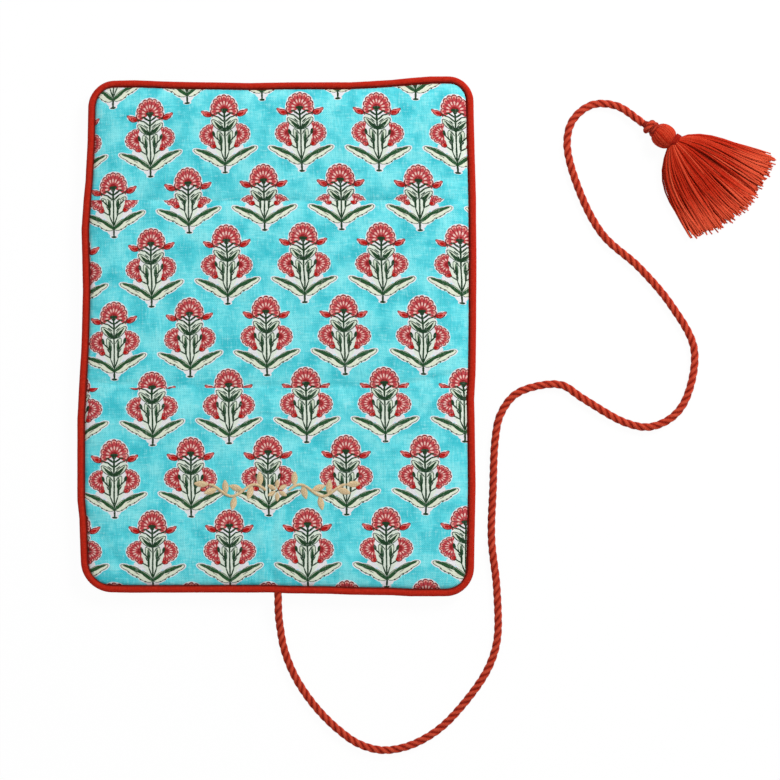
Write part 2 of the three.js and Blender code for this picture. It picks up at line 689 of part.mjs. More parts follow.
// The stuffed strap: flat where it is sewn down, round in the middle, and a flat tab for the press stud.
function ringStrap() {
  const sewn = POCKET_HEIGHT - ANCHOR_THICKNESS - CLEARANCE - STRAP_TAB_THICKNESS / 2;
  const full = STRAP_LEFT + STRAP_SEWN_LENGTH + STRAP_SHOULDER;
  const tab = STRAP_RIGHT - STRAP_TAB_LENGTH;
  const rings = [
    ovalRing(STRAP_LEFT, sewn, STRAP_WIDTH, STRAP_TAB_THICKNESS),
    ovalRing(STRAP_LEFT + STRAP_SEWN_LENGTH, sewn, STRAP_WIDTH, STRAP_TAB_THICKNESS),
  ];
  for (const share of STRAP_SWELL_SHARES) {
    const middle = sewn + (STRAP_MIDDLE - sewn) * share;
    const depth = STRAP_TAB_THICKNESS + (STRAP_DEPTH - STRAP_TAB_THICKNESS) * share;
    rings.push(ovalRing(full - STRAP_SHOULDER * (1 - share), middle, STRAP_WIDTH, depth));
  }
  for (let step = 0; step <= STRAP_BODY_STEPS; step += 1) {
    const x = full + (step / STRAP_BODY_STEPS) * (tab - STRAP_SHOULDER - full);
    rings.push(ovalRing(x, STRAP_MIDDLE, STRAP_WIDTH, STRAP_DEPTH));
  }
  for (const share of [...STRAP_SWELL_SHARES].reverse()) {
    const depth = STRAP_TAB_THICKNESS + (STRAP_DEPTH - STRAP_TAB_THICKNESS) * share;
    rings.push(ovalRing(tab - STRAP_SHOULDER * share, STRAP_MIDDLE, STRAP_WIDTH, depth));
  }
  rings.push(ovalRing(tab, STRAP_MIDDLE, STRAP_WIDTH, STRAP_TAB_THICKNESS));
  for (const share of STRAP_ROUND_SHARES) {
    const x = STRAP_RIGHT - STRAP_WIDTH / 2 + (share * STRAP_WIDTH) / 2;
    const width = STRAP_WIDTH * Math.max(Math.sqrt(1 - share * share), STRAP_TAB_THICKNESS / STRAP_WIDTH);
    rings.push(ovalRing(x, STRAP_MIDDLE, width, STRAP_TAB_THICKNESS));
  }
  const hole = turned([
    [0, TAB_LOW - OVERRUN],
    [SHANK_HOLE, TAB_LOW - OVERRUN],
    [SHANK_HOLE, TAB_TOP + OVERRUN],
    [0, TAB_TOP + OVERRUN],
  ], SNAP_SIDES).translate(SNAP_PLACE, 0, 0);
  return toGeometry(toSolid(loft(rings)).subtract(toSolid(hole)));
}

function strapAnchor() {
  const low = POCKET_HEIGHT - ANCHOR_THICKNESS;
  return box(
    [STRAP_LEFT - ANCHOR_LENGTH / 2, STRAP_LEFT + ANCHOR_LENGTH / 2],
    [-ANCHOR_WIDTH / 2, ANCHOR_WIDTH / 2],
    [low, POCKET_HEIGHT],
  );
}

// The cap shows on the strap. Its shank passes through the tab into the socket.
function snapCap() {
  const low = TAB_LOW - SNAP_SHEET;
  const crest = low - SNAP_SHEET / 2;
  return turned([
    [0, crest], [SNAP_RADIUS / 2, crest + SNAP_SHEET / 8], [SNAP_RADIUS, low + SNAP_SHEET / 4],
    [SNAP_RADIUS, TAB_LOW], [SNAP_SHANK_RADIUS, TAB_LOW], [SNAP_SHANK_RADIUS, TAB_TOP + SNAP_SHEET / 2],
    [0, TAB_TOP + SNAP_SHEET / 2],
  ], SNAP_SIDES);
}

function snapSocket() {
  const top = TAB_TOP + SNAP_SOCKET_HEIGHT;
  const recess = SNAP_HEAD_RADIUS + CLEARANCE;
  const floor = TAB_TOP + SNAP_SHEET / 2 + CLEARANCE;
  return turned([
    [SHANK_HOLE, TAB_TOP], [SNAP_SOCKET_RADIUS, TAB_TOP], [SNAP_SOCKET_RADIUS, TAB_TOP + SNAP_SHEET],
    [recess + SNAP_SHEET, top], [recess, top], [recess, floor], [SHANK_HOLE, floor], [SHANK_HOLE, TAB_TOP],
  ], SNAP_SIDES);
}

// The stud is under the lining; its head sits in the socket.
function snapStud() {
  const floor = TAB_TOP + SNAP_SHEET / 2 + CLEARANCE;
  const headLow = floor + CLEARANCE;
  const headTop = headLow + SNAP_HEAD_HEIGHT;
  const flange = POCKET_HEIGHT - SNAP_SHEET;
  const hole = SHANK_HOLE;
  const bottom = flange - SNAP_SHEET / 2;
  return turned([
    [0, headLow], [SNAP_NECK_RADIUS, headLow], [SNAP_HEAD_RADIUS, headLow + SNAP_HEAD_HEIGHT / 2],
    [SNAP_NECK_RADIUS, headTop], [SNAP_NECK_RADIUS, flange], [SNAP_SOCKET_RADIUS, flange],
    [SNAP_SOCKET_RADIUS, POCKET_HEIGHT], [hole, POCKET_HEIGHT], [hole, bottom], [0, bottom],
  ], SNAP_SIDES);
}

// A rivet whose head lies on the lining, inside the quilt, and whose shank goes down into the stud.
function snapPost() {
  const low = POCKET_HEIGHT - SNAP_SHEET;
  return turned([
    [0, low], [SNAP_SHANK_RADIUS, low], [SNAP_SHANK_RADIUS, LINING_TOP], [SNAP_POST_RADIUS, LINING_TOP],
    [SNAP_POST_RADIUS, LINING_TOP + SNAP_POST_SHEET], [0, LINING_TOP + SNAP_POST_SHEET],
  ], SNAP_SIDES);
}

// The flap's lining has a hole for the rivet, and its wadding a hollow for the rivet's head.
function topLining() {
  const hole = turned([
    [0, POCKET_HEIGHT - OVERRUN], [SHANK_HOLE, POCKET_HEIGHT - OVERRUN], [SHANK_HOLE, LINING_TOP + OVERRUN],
    [0, LINING_TOP + OVERRUN],
  ], SNAP_SIDES).translate(SNAP_PLACE, STRAP_LINE, 0);
  return toGeometry(toSolid(lining(SECTIONS.top)).subtract(toSolid(hole)));
}

function topWadding() {
  const [radius, high] = [SNAP_POST_RADIUS + CLEARANCE, LINING_TOP + SNAP_POST_SHEET + CLEARANCE];
  const hollow = turned([
    [0, LINING_TOP - OVERRUN], [radius, LINING_TOP - OVERRUN], [radius, high], [0, high],
  ], SNAP_SIDES).translate(SNAP_PLACE, STRAP_LINE, 0);
  return toGeometry(wadding(SECTIONS.top).subtract(toSolid(hollow)));
}

// The cord's route, chosen by hand: out of the bottom edge, down to the surface and along it.
const CORD_LOW = CORD_DIAMETER / 2 + CORD_LIFT;
const CORD_ROUTE = [
  [0.8, -137.8, 7], [0.8, -142.6, 6.8], [1, -150, 4.6], [2, -158.5, 2.4],
  [3.7, -167.5, CORD_LOW], [8.3, -180, CORD_LOW], [15, -191.5, CORD_LOW], [23.2, -201.9, CORD_LOW],
  [32.8, -211.2, CORD_LOW], [43.7, -218.8, CORD_LOW], [56.4, -222.3, CORD_LOW], [69.5, -220.4, CORD_LOW],
  [81.5, -214.8, CORD_LOW], [92, -206.6, CORD_LOW], [108.8, -186.2, CORD_LOW], [115.1, -174.5, CORD_LOW],
  [118.4, -161.7, CORD_LOW], [118, -135, CORD_LOW], [115.2, -108.5, CORD_LOW], [116, -81.9, CORD_LOW],
  [117.2, -55.3, CORD_LOW], [119.9, -42.4, CORD_LOW], [127.5, -31.7, CORD_LOW], [139.7, -26.8, CORD_LOW],
  [153, -26.3, CORD_LOW], [164.1, -33.3, CORD_LOW], [187.1, -46.4, CORD_LOW], [200.1, -48.7, CORD_LOW],
  [212.2, -43.5, CORD_LOW], [220, -32.8, CORD_LOW], [224, -6.8, CORD_LOW], [211.8, 16.5, CORD_LOW],
  [194.6, 36.8, CORD_LOW], [174.9, 54.6, CORD_LOW], [162.4, 78, CORD_LOW], [155.8, 103.4, CORD_LOW],
  [159.1, 116.3, CORD_LOW], [169.2, 124.2, CORD_LOW], [182.4, 123.6, 2.5], [196.6, 114.2, 3.6],
];

function tieCord() {
  const route = new THREE.CatmullRomCurve3(CORD_ROUTE.map((point) => new THREE.Vector3(...point)));
  const outline = new THREE.Shape(ringPoints(CORD_DIAMETER / 2, CORD_SIDES));
  return new THREE.ExtrudeGeometry(outline, {
    steps: CORD_STEPS, extrudePath: route, bevelEnabled: false,
  });
}

// The knot and head lie along +X from the cord's end, and are then turned to their direction.
// The neck and skirt turn a little further, about the start of the neck.
const HEAD_START = CLEARANCE + KNOT_LENGTH + CLEARANCE;
const NECK_START = HEAD_START + HEAD_LENGTH + CLEARANCE;
const TASSEL_HEIGHT = HEAD_DIAMETER / 2 + CORD_LIFT;

function alongKnot(geometry, start, height) {
  const [x, y] = CORD_ROUTE[CORD_ROUTE.length - 1];
  const turn = THREE.MathUtils.degToRad(KNOT_TURN);
  return geometry.translate(start, 0, 0).rotateZ(turn).translate(x, y, height);
}

function alongSkirt(geometry, start) {
  const bend = THREE.MathUtils.degToRad(SKIRT_TURN - KNOT_TURN);
  return alongKnot(geometry.translate(start, 0, 0).rotateZ(bend), NECK_START, TASSEL_HEIGHT);
}

// A round body about the X axis, from pairs of distance and radius.
function barrel(profile, sides) {
  const points = profile.map(([along, radius]) => new THREE.Vector2(radius, along));
  return new THREE.LatheGeometry(points, sides).rotateZ(-Math.PI / 2);
}

function cordKnot() {
  const profile = [[0, 0]];
  for (let step = 0; step <= KNOT_STEPS; step += 1) {
    const share = step / KNOT_STEPS;
    const swell = Math.sin(Math.PI * share) ** KNOT_SWELL_SHARE;
    const groove = 1 + Math.cos(2 * Math.PI * KNOT_TURNS * share);
    const full = (KNOT_DIAMETER - CORD_DIAMETER) / 2;
    const radius = CORD_DIAMETER / 2 + full * swell * (1 - (KNOT_GROOVE_SHARE * groove) / 2);
    profile.push([share * KNOT_LENGTH, radius]);
  }
  profile.push([KNOT_LENGTH, 0]);
  return alongKnot(barrel(profile, KNOT_SIDES), CLEARANCE, KNOT_DIAMETER / 2 + CORD_LIFT);
}

// The head is a wound ball whose windings leave shallow meridian grooves.
function tasselHead() {
  const rings = [];
  for (let step = 0; step <= HEAD_STEPS; step += 1) {
    const share = step / HEAD_STEPS;
    const angle = Math.PI * (HEAD_START_SHARE + (1 - 2 * HEAD_START_SHARE) * share);
    const radius = (HEAD_DIAMETER / 2) * Math.sin(angle);
    rings.push(Array.from({ length: HEAD_SIDES }, (_, side) => {
      const turn = ((side + 0.5) / HEAD_SIDES) * 2 * Math.PI;
      const ridge = side % 2 ? radius : radius * (1 - HEAD_GROOVE_SHARE);
      return [share * HEAD_LENGTH, ridge * Math.cos(turn), ridge * Math.sin(turn)];
    }));
  }
  return alongKnot(loft(rings), HEAD_START, TASSEL_HEIGHT);
}

// Thread wound round the top of the skirt.
function tasselNeck() {
  const [inner, outer] = [NECK_DIAMETER / 2 - NECK_WALL, NECK_DIAMETER / 2];
  const bulge = NECK_WALL / 3;
  const profile = [
    [0, inner], [0, outer - bulge], [NECK_LENGTH / 4, outer], [NECK_LENGTH / 2, outer - bulge / 2],
    [(3 * NECK_LENGTH) / 4, outer], [NECK_LENGTH, outer - bulge], [NECK_LENGTH, inner], [0, inner],
  ];
  return alongSkirt(barrel(profile, NECK_SIDES), 0);
}

// The skirt swells below its binding and fans out flat on the surface, with a flute for each bundle
// of yarn and uneven cut ends.
function tasselSkirt() {
  const sides = 2 * SKIRT_FLUTES;
  const start = NECK_DIAMETER / 2 - NECK_WALL - CLEARANCE;
  const bound = NECK_LENGTH + CLEARANCE;
  const free = SKIRT_LENGTH - bound;
  const places = [0, ...SKIRT_RING_SHARES.map((share) => bound + share * free)];
  const rings = places.map((place) => {
    const spread = Math.max(0, (place - bound) / free);
    const bell = rise(place - bound, SKIRT_BELL_REACH);
    const taper = (bellSize, endSize) => (
      start + (bellSize / 2 - start) * bell + ((endSize - bellSize) / 2) * spread
    );
    const halfWidth = taper(SKIRT_BELL_WIDTH, SKIRT_END_WIDTH);
    const halfDepth = taper(SKIRT_BELL_DEPTH, SKIRT_END_DEPTH);
    const middle = (halfDepth + CORD_LIFT - TASSEL_HEIGHT) * bell;
    return Array.from({ length: sides }, (_, side) => {
      const angle = ((side + 0.5) / sides) * 2 * Math.PI;
      const groove = side % 2 ? 0 : SKIRT_FLUTE_DEPTH * bell;
      const across = (halfWidth - groove) * Math.cos(angle);
      const up = (halfDepth - groove) * Math.sin(angle);
      const curve = 1 - SKIRT_CURVE_SHARE * (across / (SKIRT_END_WIDTH / 2)) ** 2 * spread;
      const uneven = 1 + SKIRT_UNEVEN_SHARE * Math.sin(SKIRT_UNEVEN_TURN * side) * spread;
      return [place * curve * uneven, across, middle + up];
    });
  });
  return alongSkirt(loft(rings), CLEARANCE);
}

const print = finish(COLORS.print, 0.85);
const plain = finish(COLORS.lining, 0.85);
const batting = finish(COLORS.wadding, 0.95);
const binding = finish(COLORS.piping, 0.8);
const fillerCord = finish(COLORS.filler, 0.9);
const tape = finish(COLORS.tape, 0.8);
const nylon = finish(COLORS.teeth, 0.45);
const metal = finish(COLORS.metal, 0.35, 1);

function pocketWithZip(name, section) {
  const zipLine = section.high - ZIP_SETBACK;
  const group = new THREE.Group();
  group.add(
    mesh(name + '_pocket_panel', pocketPanel(section, zipLine), plain),
    mesh(name + '_pocket_facing', pocketFacing(zipLine), plain),
  );
  const zip = new THREE.Group();
  zip.position.y = zipLine;
  const pull = mesh(name + '_zip_pull', zipPull(), metal);
  const slider = mesh(name + '_zip_slider', zipSlider(), metal);
  slider.position.x = SLIDER_REST;
  pull.position.set(SLIDER_REST, 0, PULL_AXIS_HEIGHT);
  zip.add(
    mesh(name + '_zip_tape_near', zipTape(-1), tape),
    mesh(name + '_zip_tape_far', zipTape(1), tape),
    mesh(name + '_zip_row_near', zipRow(-1), nylon),
    mesh(name + '_zip_row_far', zipRow(1), nylon),
    mesh(name + '_zip_stop', zipStop(), nylon),
    slider,
    pull,
  );
  group.add(zip);
  return group;
}

function frontSection() {
  const section = SECTIONS.front;
  const group = new THREE.Group();
  group.add(
    mesh('front_shell', shell(section), print),
    mesh('front_wadding', toGeometry(wadding(section)), batting),
    mesh('front_lining', lining(section), plain),
    mesh('front_piping', piping(pipingRoute(section)), binding),
    mesh('front_piping_cord', filler(pipingRoute(section)), fillerCord),
    pocketWithZip('front', section),
  );
  return group;
}

function middleSection() {
  const section = SECTIONS.middle;
  const group = new THREE.Group();
  group.add(
    mesh('middle_shell', shell(section), print),
    mesh('middle_wadding', toGeometry(wadding(section)), batting),
    mesh('middle_lining', lining(section), plain),
    pocketWithZip('middle', section),
  );
  for (const [name, side] of [['left', -1], ['right', 1]]) {
    group.add(
      mesh('middle_piping_' + name, piping(sideRoute(section, side)), binding),
      mesh('middle_piping_cord_' + name, filler(sideRoute(section, side)), fillerCord),
    );
  }
  return group;
}

function topFlap() {
  const section = SECTIONS.top;
  const group = new THREE.Group();
  group.add(
    mesh('top_shell', shell(section), print),
    mesh('top_wadding', topWadding(), batting),
    mesh('top_lining', topLining(), plain),
    mesh('top_piping', piping(pipingRoute(section)), binding),
    mesh('top_piping_cord', filler(pipingRoute(section)), fillerCord),
  );
  return group;
}

function strapAndStud() {
  const group = new THREE.Group();
  group.position.y = STRAP_LINE;
  const stud = new THREE.Group();
  stud.position.x = SNAP_PLACE;
  stud.add(
    mesh('snap_stud', snapStud(), metal),
    mesh('snap_post', snapPost(), metal),
    mesh('snap_socket', snapSocket(), metal),
    mesh('snap_cap', snapCap(), metal),
  );
  group.add(
    mesh('strap_anchor', strapAnchor(), plain),
    mesh('ring_strap', ringStrap(), finish(COLORS.strap, 0.85)),
    stud,
  );
  return group;
}

function cordAndTassel() {
  const group = new THREE.Group();
  const yarn = finish(COLORS.tassel, 0.9);
  const twist = finish(COLORS.cord, 0.85);
  group.add(
    mesh('tie_cord', tieCord(), twist),
    mesh('cord_knot', cordKnot(), twist),
    mesh('tassel_head', tasselHead(), yarn),
    mesh('tassel_neck', tasselNeck(), yarn),
    mesh('tassel_skirt', tasselSkirt(), yarn),
  );
  return group;
}

const roll = new THREE.Group();
roll.name = 'jewelry_roll';
roll.add(frontSection(), middleSection(), topFlap(), strapAndStud(), cordAndTassel());
roll.updateMatrixWorld(true);

export default roll;
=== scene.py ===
"""A quilted cotton jewelry roll, opened flat, with its twisted cord and yarn tassel."""

import math
import random

import bmesh
import bpy
import numpy as np
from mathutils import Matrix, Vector, noise


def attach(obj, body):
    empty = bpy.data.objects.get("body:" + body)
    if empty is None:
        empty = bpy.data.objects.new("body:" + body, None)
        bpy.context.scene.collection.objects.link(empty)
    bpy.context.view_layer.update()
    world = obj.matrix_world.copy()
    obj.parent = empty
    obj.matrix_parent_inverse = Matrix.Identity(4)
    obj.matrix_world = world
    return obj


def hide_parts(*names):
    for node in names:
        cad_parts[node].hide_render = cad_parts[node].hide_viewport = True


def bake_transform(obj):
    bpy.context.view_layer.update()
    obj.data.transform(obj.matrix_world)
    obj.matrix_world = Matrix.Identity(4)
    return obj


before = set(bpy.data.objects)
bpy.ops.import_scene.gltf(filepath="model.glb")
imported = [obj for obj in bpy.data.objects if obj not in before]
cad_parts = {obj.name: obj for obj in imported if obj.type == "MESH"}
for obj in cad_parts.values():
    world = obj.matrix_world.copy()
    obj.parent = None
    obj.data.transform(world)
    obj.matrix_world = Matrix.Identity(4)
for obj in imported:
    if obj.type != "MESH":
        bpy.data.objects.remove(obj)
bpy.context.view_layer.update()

bl_info = {
    "name": "Jewelry Roll",
    "version": (1, 0, 0),
    "blender": (4, 5, 0),
    "location": "View3D > Sidebar > Jewelry Roll",
    "description": "Makes a quilted jewelry roll with its piping, pockets, zips, cord and tassel",
    "category": "Object",
}

MM = 0.001

# The panel, in millimetres, as in the solids.
HALF_WIDTH = 105.0
HALF_LENGTH = 137.5
FOLD_LOW = -27.8
FOLD_HIGH = 72.8
SPLIT = 22.5
CORNER_RADII = {(-1, -1): 16.5, (1, -1): 14.9, (1, 1): 13.4, (-1, 1): 14.8}

# Cover, wadding, lining and piping are made in two halves that meet on the split, each with an outer section.
HALVES = {"upper": "top", "lower": "front"}

# The quilt's layers, in millimetres: how far in from the panel's edge each ends, its mesh and its heights.
COVER_INSET = 3.85
COVER_THICKNESS = 0.55
COVER_SEAM = 7.62
COVER_RISE = 1.28
WADDING_INSET = 9.0
WADDING_STEP = 5.0
WADDING_LOW = 7.12
WADDING_BELOW_COVER = 0.75
LINING_INSET = 4.0
LINING_STEP = 2.4
LINING_TOP = 7.02
LINING_LOW = 6.5

# The piping: its middle, how far round its cord the cloth is pulled each way, and its seam allowance.
PIPING_MIDDLE = 7.6
PIPING_SIDES = 20
PIPING_PULL = math.radians(168)
PIPING_ALLOWANCE = 4.6
FILLER_RADIUS = 0.98

# How far the sewn edges of the real one wander from straight lines: place along the edge, then how far it
# moves towards +X or +Y.
LEFT_DRIFT = [(-137, 0.6), (-120, 0.2), (-98, -0.6), (-88, -1.7), (-45, -1.7), (-23, -0.5), (-7, 0.5),
              (9, 1.0), (25, 1.4), (41, 1.0), (57, 0.6), (73, 1.8), (83, 2.8), (94, 3.4), (105, 4.0),
              (137, 4.6)]
RIGHT_DRIFT = [(-137, 0.4), (-110, 1.0), (-80, 1.6), (-45, 1.1), (-34, 0.8), (-20, 1.6), (0, 1.9),
               (40, 2.1), (73, 1.8), (116, 0.6), (137, 0.3)]
TOP_DRIFT = [(-105, -0.9), (-78, -0.5), (-57, -1.3), (-14, -2.0), (7, -1.6), (39, -1.6), (50, -1.0),
             (61, -0.3), (71, 0.7), (82, 1.6), (105, 1.7)]
LOW_DRIFT = [(-105, 0.6), (-78, 0.1), (-3, 0.2), (7, -0.3), (28, -0.5), (39, -1.0), (61, -1.3),
             (71, -1.9), (105, -1.9)]

# Creases pressed into the cover: two ends, half width and depth, which is below 0 for a ridge.
CREASES = [
    ((-101, -24.8), (-50, -26.8), 1.3, 0.55), ((-50, -26.8), (62, -27.0), 1.3, 0.5),
    ((62, -27.0), (101, -18.7), 1.4, 0.6), ((-101, 72.8), (101, 72.4), 1.2, 0.6),
    ((-14, -42.0), (5, -43.6), 0.9, 0.5), ((-2.2, -95), (-1.4, -133), 1.8, 0.55),
    ((-7.5, -100), (-6.5, -133), 2.0, -0.3), ((86, 83.5), (101, 82.0), 1.0, 0.3),
    ((-100, -98), (-78, -131), 2.2, 0.4), ((24, -48), (27, -84), 2.2, 0.3),
    ((-34, -60), (-30, -86), 2.4, 0.25), ((52, -92), (56, -131), 2.2, 0.25),
]

# The cord's line, as in the solids.
CORD_LOW = 2.2
CORD_ROUTE = [
    (0.8, -136.2, 7.1), (0.8, -142.6, 6.8), (1, -150, 4.6), (2, -158.5, 2.4),
    (3.7, -167.5, CORD_LOW), (8.3, -180, CORD_LOW), (15, -191.5, CORD_LOW), (23.2, -201.9, CORD_LOW),
    (32.8, -211.2, CORD_LOW), (43.7, -218.8, CORD_LOW), (56.4, -222.3, CORD_LOW), (69.5, -220.4, CORD_LOW),
    (81.5, -214.8, CORD_LOW), (92, -206.6, CORD_LOW), (108.8, -186.2, CORD_LOW), (115.1, -174.5, CORD_LOW),
    (118.4, -161.7, CORD_LOW), (118, -135, CORD_LOW), (115.2, -108.5, CORD_LOW), (116, -81.9, CORD_LOW),
    (117.2, -55.3, CORD_LOW), (119.9, -42.4, CORD_LOW), (127.5, -31.7, CORD_LOW), (139.7, -26.8, CORD_LOW),
    (153, -26.3, CORD_LOW), (164.1, -33.3, CORD_LOW), (187.1, -46.4, CORD_LOW), (200.1, -48.7, CORD_LOW),
    (212.2, -43.5, CORD_LOW), (220, -32.8, CORD_LOW), (224, -6.8, CORD_LOW), (211.8, 16.5, CORD_LOW),
    (194.6, 36.8, CORD_LOW), (174.9, 54.6, CORD_LOW), (162.4, 78, CORD_LOW), (155.8, 103.4, CORD_LOW),
    (159.1, 116.3, CORD_LOW), (169.2, 124.2, CORD_LOW), (182.4, 123.6, 2.5), (196.6, 114.2, 3.6),
]

# The tassel: which way it lies and how wide it fans, then how far from the cord's end its pieces have their
# middles, and how high.
KNOT_TURN = math.radians(-30)
SKIRT_TURN = math.radians(-43.7)
SKIRT_SPREAD = math.radians(35.5)
KNOT_AWAY = 5.5
KNOT_HEIGHT = 3.85
HEAD_AWAY = 12.7
HEAD_SHIFT = (-0.2, -0.8)
HEAD_YARNS = 60
NECK_AWAY = 18.4
NECK_RADIUS = 3.7
TASSEL_HEIGHT = 6.45
FRINGE_STARTS = ((210.3, 102.7), (215.2, 105.9))
FRINGE_RINGS = 9
FRINGE_LOW = 0.62

# Which way the fringe's yarns point where they leave the neck and where they end, in degrees: in the middle
# of the fan, and how much more at its edge.
FRINGE_LEAVE = (-42.5, 67.5)
FRINGE_ARRIVE = (-38, 22)

# Zip lines and the pockets below them: body, front edge of the pocket and the zip's line.
POCKETS = {
    "front": ("front_section", -129.5, -48.2),
    "middle": ("middle_section", -23.4, 52.4),
}

# A pocket's half width, corner radius and thickness, and how high its lower face lies at the hem, at the tape
# and at its lowest. Then how far from the zip's line the cloths end, and the sizes of the tapes.
POCKET_HALF = 97.0
POCKET_CORNER = 6.0
POCKET_CLOTH = 0.8
POCKET_RIM = 5.7
POCKET_AT_TAPE = 2.9
POCKET_LEAST = 0.06
GROOVE_HALF = 6.5
TAPE_SPAN = (3.8, 13.6)
TAPE_HALF = 94.5
TAPE_TURN_UP = 6.5
TAPE_LOW = 3.75
TAPE_THICKNESS = 0.46
STITCH_GAP = 0.6

# The strip behind a zip: how far back from the groove, and how high.
FACING_PROFILE = [(0, 2.95), (5.8, 2.95), (7.0, 3.4), (7.6, 4.6), (8.4, 5.6), (9.4, 5.7), (12.5, 5.7)]

# The ring strap, and the patch under its sewn end.
STRAP_LINE = 105.15
STRAP_HALF = 75.0
STRAP_WIDTH = 13.0
STRAP_ROUND = 6.5
PATCH_HALF = (7.0, 8.5)
PATCH_LOW = 5.72
PATCH_HIGH = 6.5

# The stitched vine: its middle, where its two stems start, how far they run, and their swing and half waves.
VINE_MIDDLE = (0.5, -82.5)
VINE_START = 6
VINE_RUN = 30.5
VINE_SWING = 3.1
VINE_WAVES = 2.5
VINE_LEAVES = ((0.1, 58), (0.24, -60), (0.4, 58), (0.54, -58), (0.7, 56), (0.84, -56), (1.0, 4))

# The stage, in metres: each light's place, size and power, and the camera, with the width that it frames.
LIGHTS = {"key": ((0.72, 0.72, 0.86), 0.5, 14.5), "fill": ((-0.7, -0.5, 1.3), 1.2, 1.2)}
LIGHT_AIM = (0.05, -0.03, 0)
CAMERA_PLACE = (0.0607, -0.0289, 1.508)
CAMERA_SENSOR = 36.0
CAMERA_DISTANCE = 1.5
FRAME_WIDTH = 0.4173


def linear(colour):
    """The linear RGBA of an sRGB hex colour."""
    channels = [int(colour[place:place + 2], 16) / 255 for place in (1, 3, 5)]
    return [c / 12.92 if c <= 0.04045 else ((c + 0.055) / 1.055) ** 2.4 for c in channels] + [1.0]


class RollSizes(bpy.types.PropertyGroup):
    """Sizes of the dressed roll."""

    piping: bpy.props.FloatProperty(
        name="Piping", description="Diameter of the corded piping", default=0.0037, unit="LENGTH")
    crown: bpy.props.FloatProperty(
        name="Crown", description="How far the quilt swells above its seams", default=0.002, unit="LENGTH")
    pucker: bpy.props.FloatProperty(
        name="Pucker", description="Depth of the gathers along the seams", default=0.00032, unit="LENGTH")
    grid: bpy.props.FloatProperty(
        name="Cover grid", description="Spacing of the cover's mesh", default=0.0012, unit="LENGTH")
    cord: bpy.props.FloatProperty(
        name="Cord", description="Diameter of the twisted cord", default=0.0043, unit="LENGTH")
    lay: bpy.props.FloatProperty(
        name="Lay", description="Length of one turn of the cord's strands", default=0.0137, unit="LENGTH")
    fringe: bpy.props.FloatProperty(
        name="Fringe", description="Length of the tassel's strands", default=0.054, unit="LENGTH")
    strands: bpy.props.IntProperty(
        name="Strands", description="Number of yarns in the tassel's fringe", default=480)
    stitch: bpy.props.FloatProperty(
        name="Stitch", description="Length of one visible stitch", default=0.0024, unit="LENGTH")


class RollColours(bpy.types.PropertyGroup):
    """Colours of the dressed roll."""

    ground: bpy.props.FloatVectorProperty(
        name="Ground", description="Dyed ground of the print", subtype="COLOR", size=4,
        default=linear("#5CD4DE"))
    flower: bpy.props.FloatVectorProperty(
        name="Flower", description="Petals of the print", subtype="COLOR", size=4, default=linear("#D4625C"))
    leaf: bpy.props.FloatVectorProperty(
        name="Leaf", description="Stems and leaves of the print", subtype="COLOR", size=4,
        default=linear("#1E3A24"))
    piping: bpy.props.FloatVectorProperty(
        name="Piping", description="Bias cloth of the piping", subtype="COLOR", size=4,
        default=linear("#B4210F"))
    lining: bpy.props.FloatVectorProperty(
        name="Lining", description="Plain cotton inside", subtype="COLOR", size=4, default=linear("#A83B29"))
    pocket: bpy.props.FloatVectorProperty(
        name="Pockets", description="Plain cotton of the pockets", subtype="COLOR", size=4,
        default=linear("#A03525"))
    cord: bpy.props.FloatVectorProperty(
        name="Cord", description="Yarn of the cord", subtype="COLOR", size=4, default=linear("#B4301C"))
    tassel: bpy.props.FloatVectorProperty(
        name="Tassel", description="Yarn of the tassel", subtype="COLOR", size=4, default=linear("#B6260C"))
    teeth: bpy.props.FloatVectorProperty(
        name="Teeth", description="Moulded teeth of the zips", subtype="COLOR", size=4,
        default=linear("#B0402E"))
    metal: bpy.props.FloatVectorProperty(
        name="Metal", description="Brass of the sliders, the pulls and the stud", subtype="COLOR", size=4,
        default=linear("#B8925A"))


def add_node(tree, kind, *values, sockets=None, out=0, **settings):
    """Add a node, fill or link its inputs in order and then by name, and return one of its outputs."""
    node = tree.nodes.new("ShaderNode" + kind)
    for setting, value in settings.items():
        setattr(node, setting, value)
    for key, value in [*enumerate(values), *(sockets or {}).items()]:
        if isinstance(value, bpy.types.NodeSocket):
            tree.links.new(value, node.inputs[key])
        elif value is not None:
            node.inputs[key].default_value = value
    return node.outputs[out] if node.outputs else node


def empty_material(name):
    """A material with no nodes, and its node tree."""
    material = bpy.data.materials.new(name)
    material.use_nodes = True
    material.node_tree.nodes.clear()
    return material, material.node_tree


def overprint(tree, ground, layers):
    """Colours laid one over the other, each through its own mask.

    A mask may be a value with three numbers: where the colour starts to show, where it shows most, and how
    much that is.
    """
    for colour, mask in layers:
        if isinstance(mask, tuple):
            value, start, end, most = mask
            mask = add_node(tree, "MapRange", value, start, end, 0.0, most)
        colour = linear(colour) if isinstance(colour, str) else colour
        ground = add_node(tree, "Mix", sockets={0: mask, 6: ground, 7: colour}, data_type="RGBA", out=2)
    return ground


def nearest_shape(tree, point, shapes):
    """The least of the shapes' own radii at a point: 1 on an edge, less inside. Each is an ellipse."""
    nearest = None
    for x, y, long_half, wide_half, turn in shapes:
        local = add_node(tree, "Mapping", point, (x, y, 0), (0, 0, math.radians(turn)),
                         (long_half, wide_half, 1), vector_type="TEXTURE")
        reach = add_node(tree, "VectorMath", local, operation="LENGTH", out=1)
        nearest = reach if nearest is None else add_node(tree, "Math", nearest, reach, operation="MINIMUM")
    return nearest


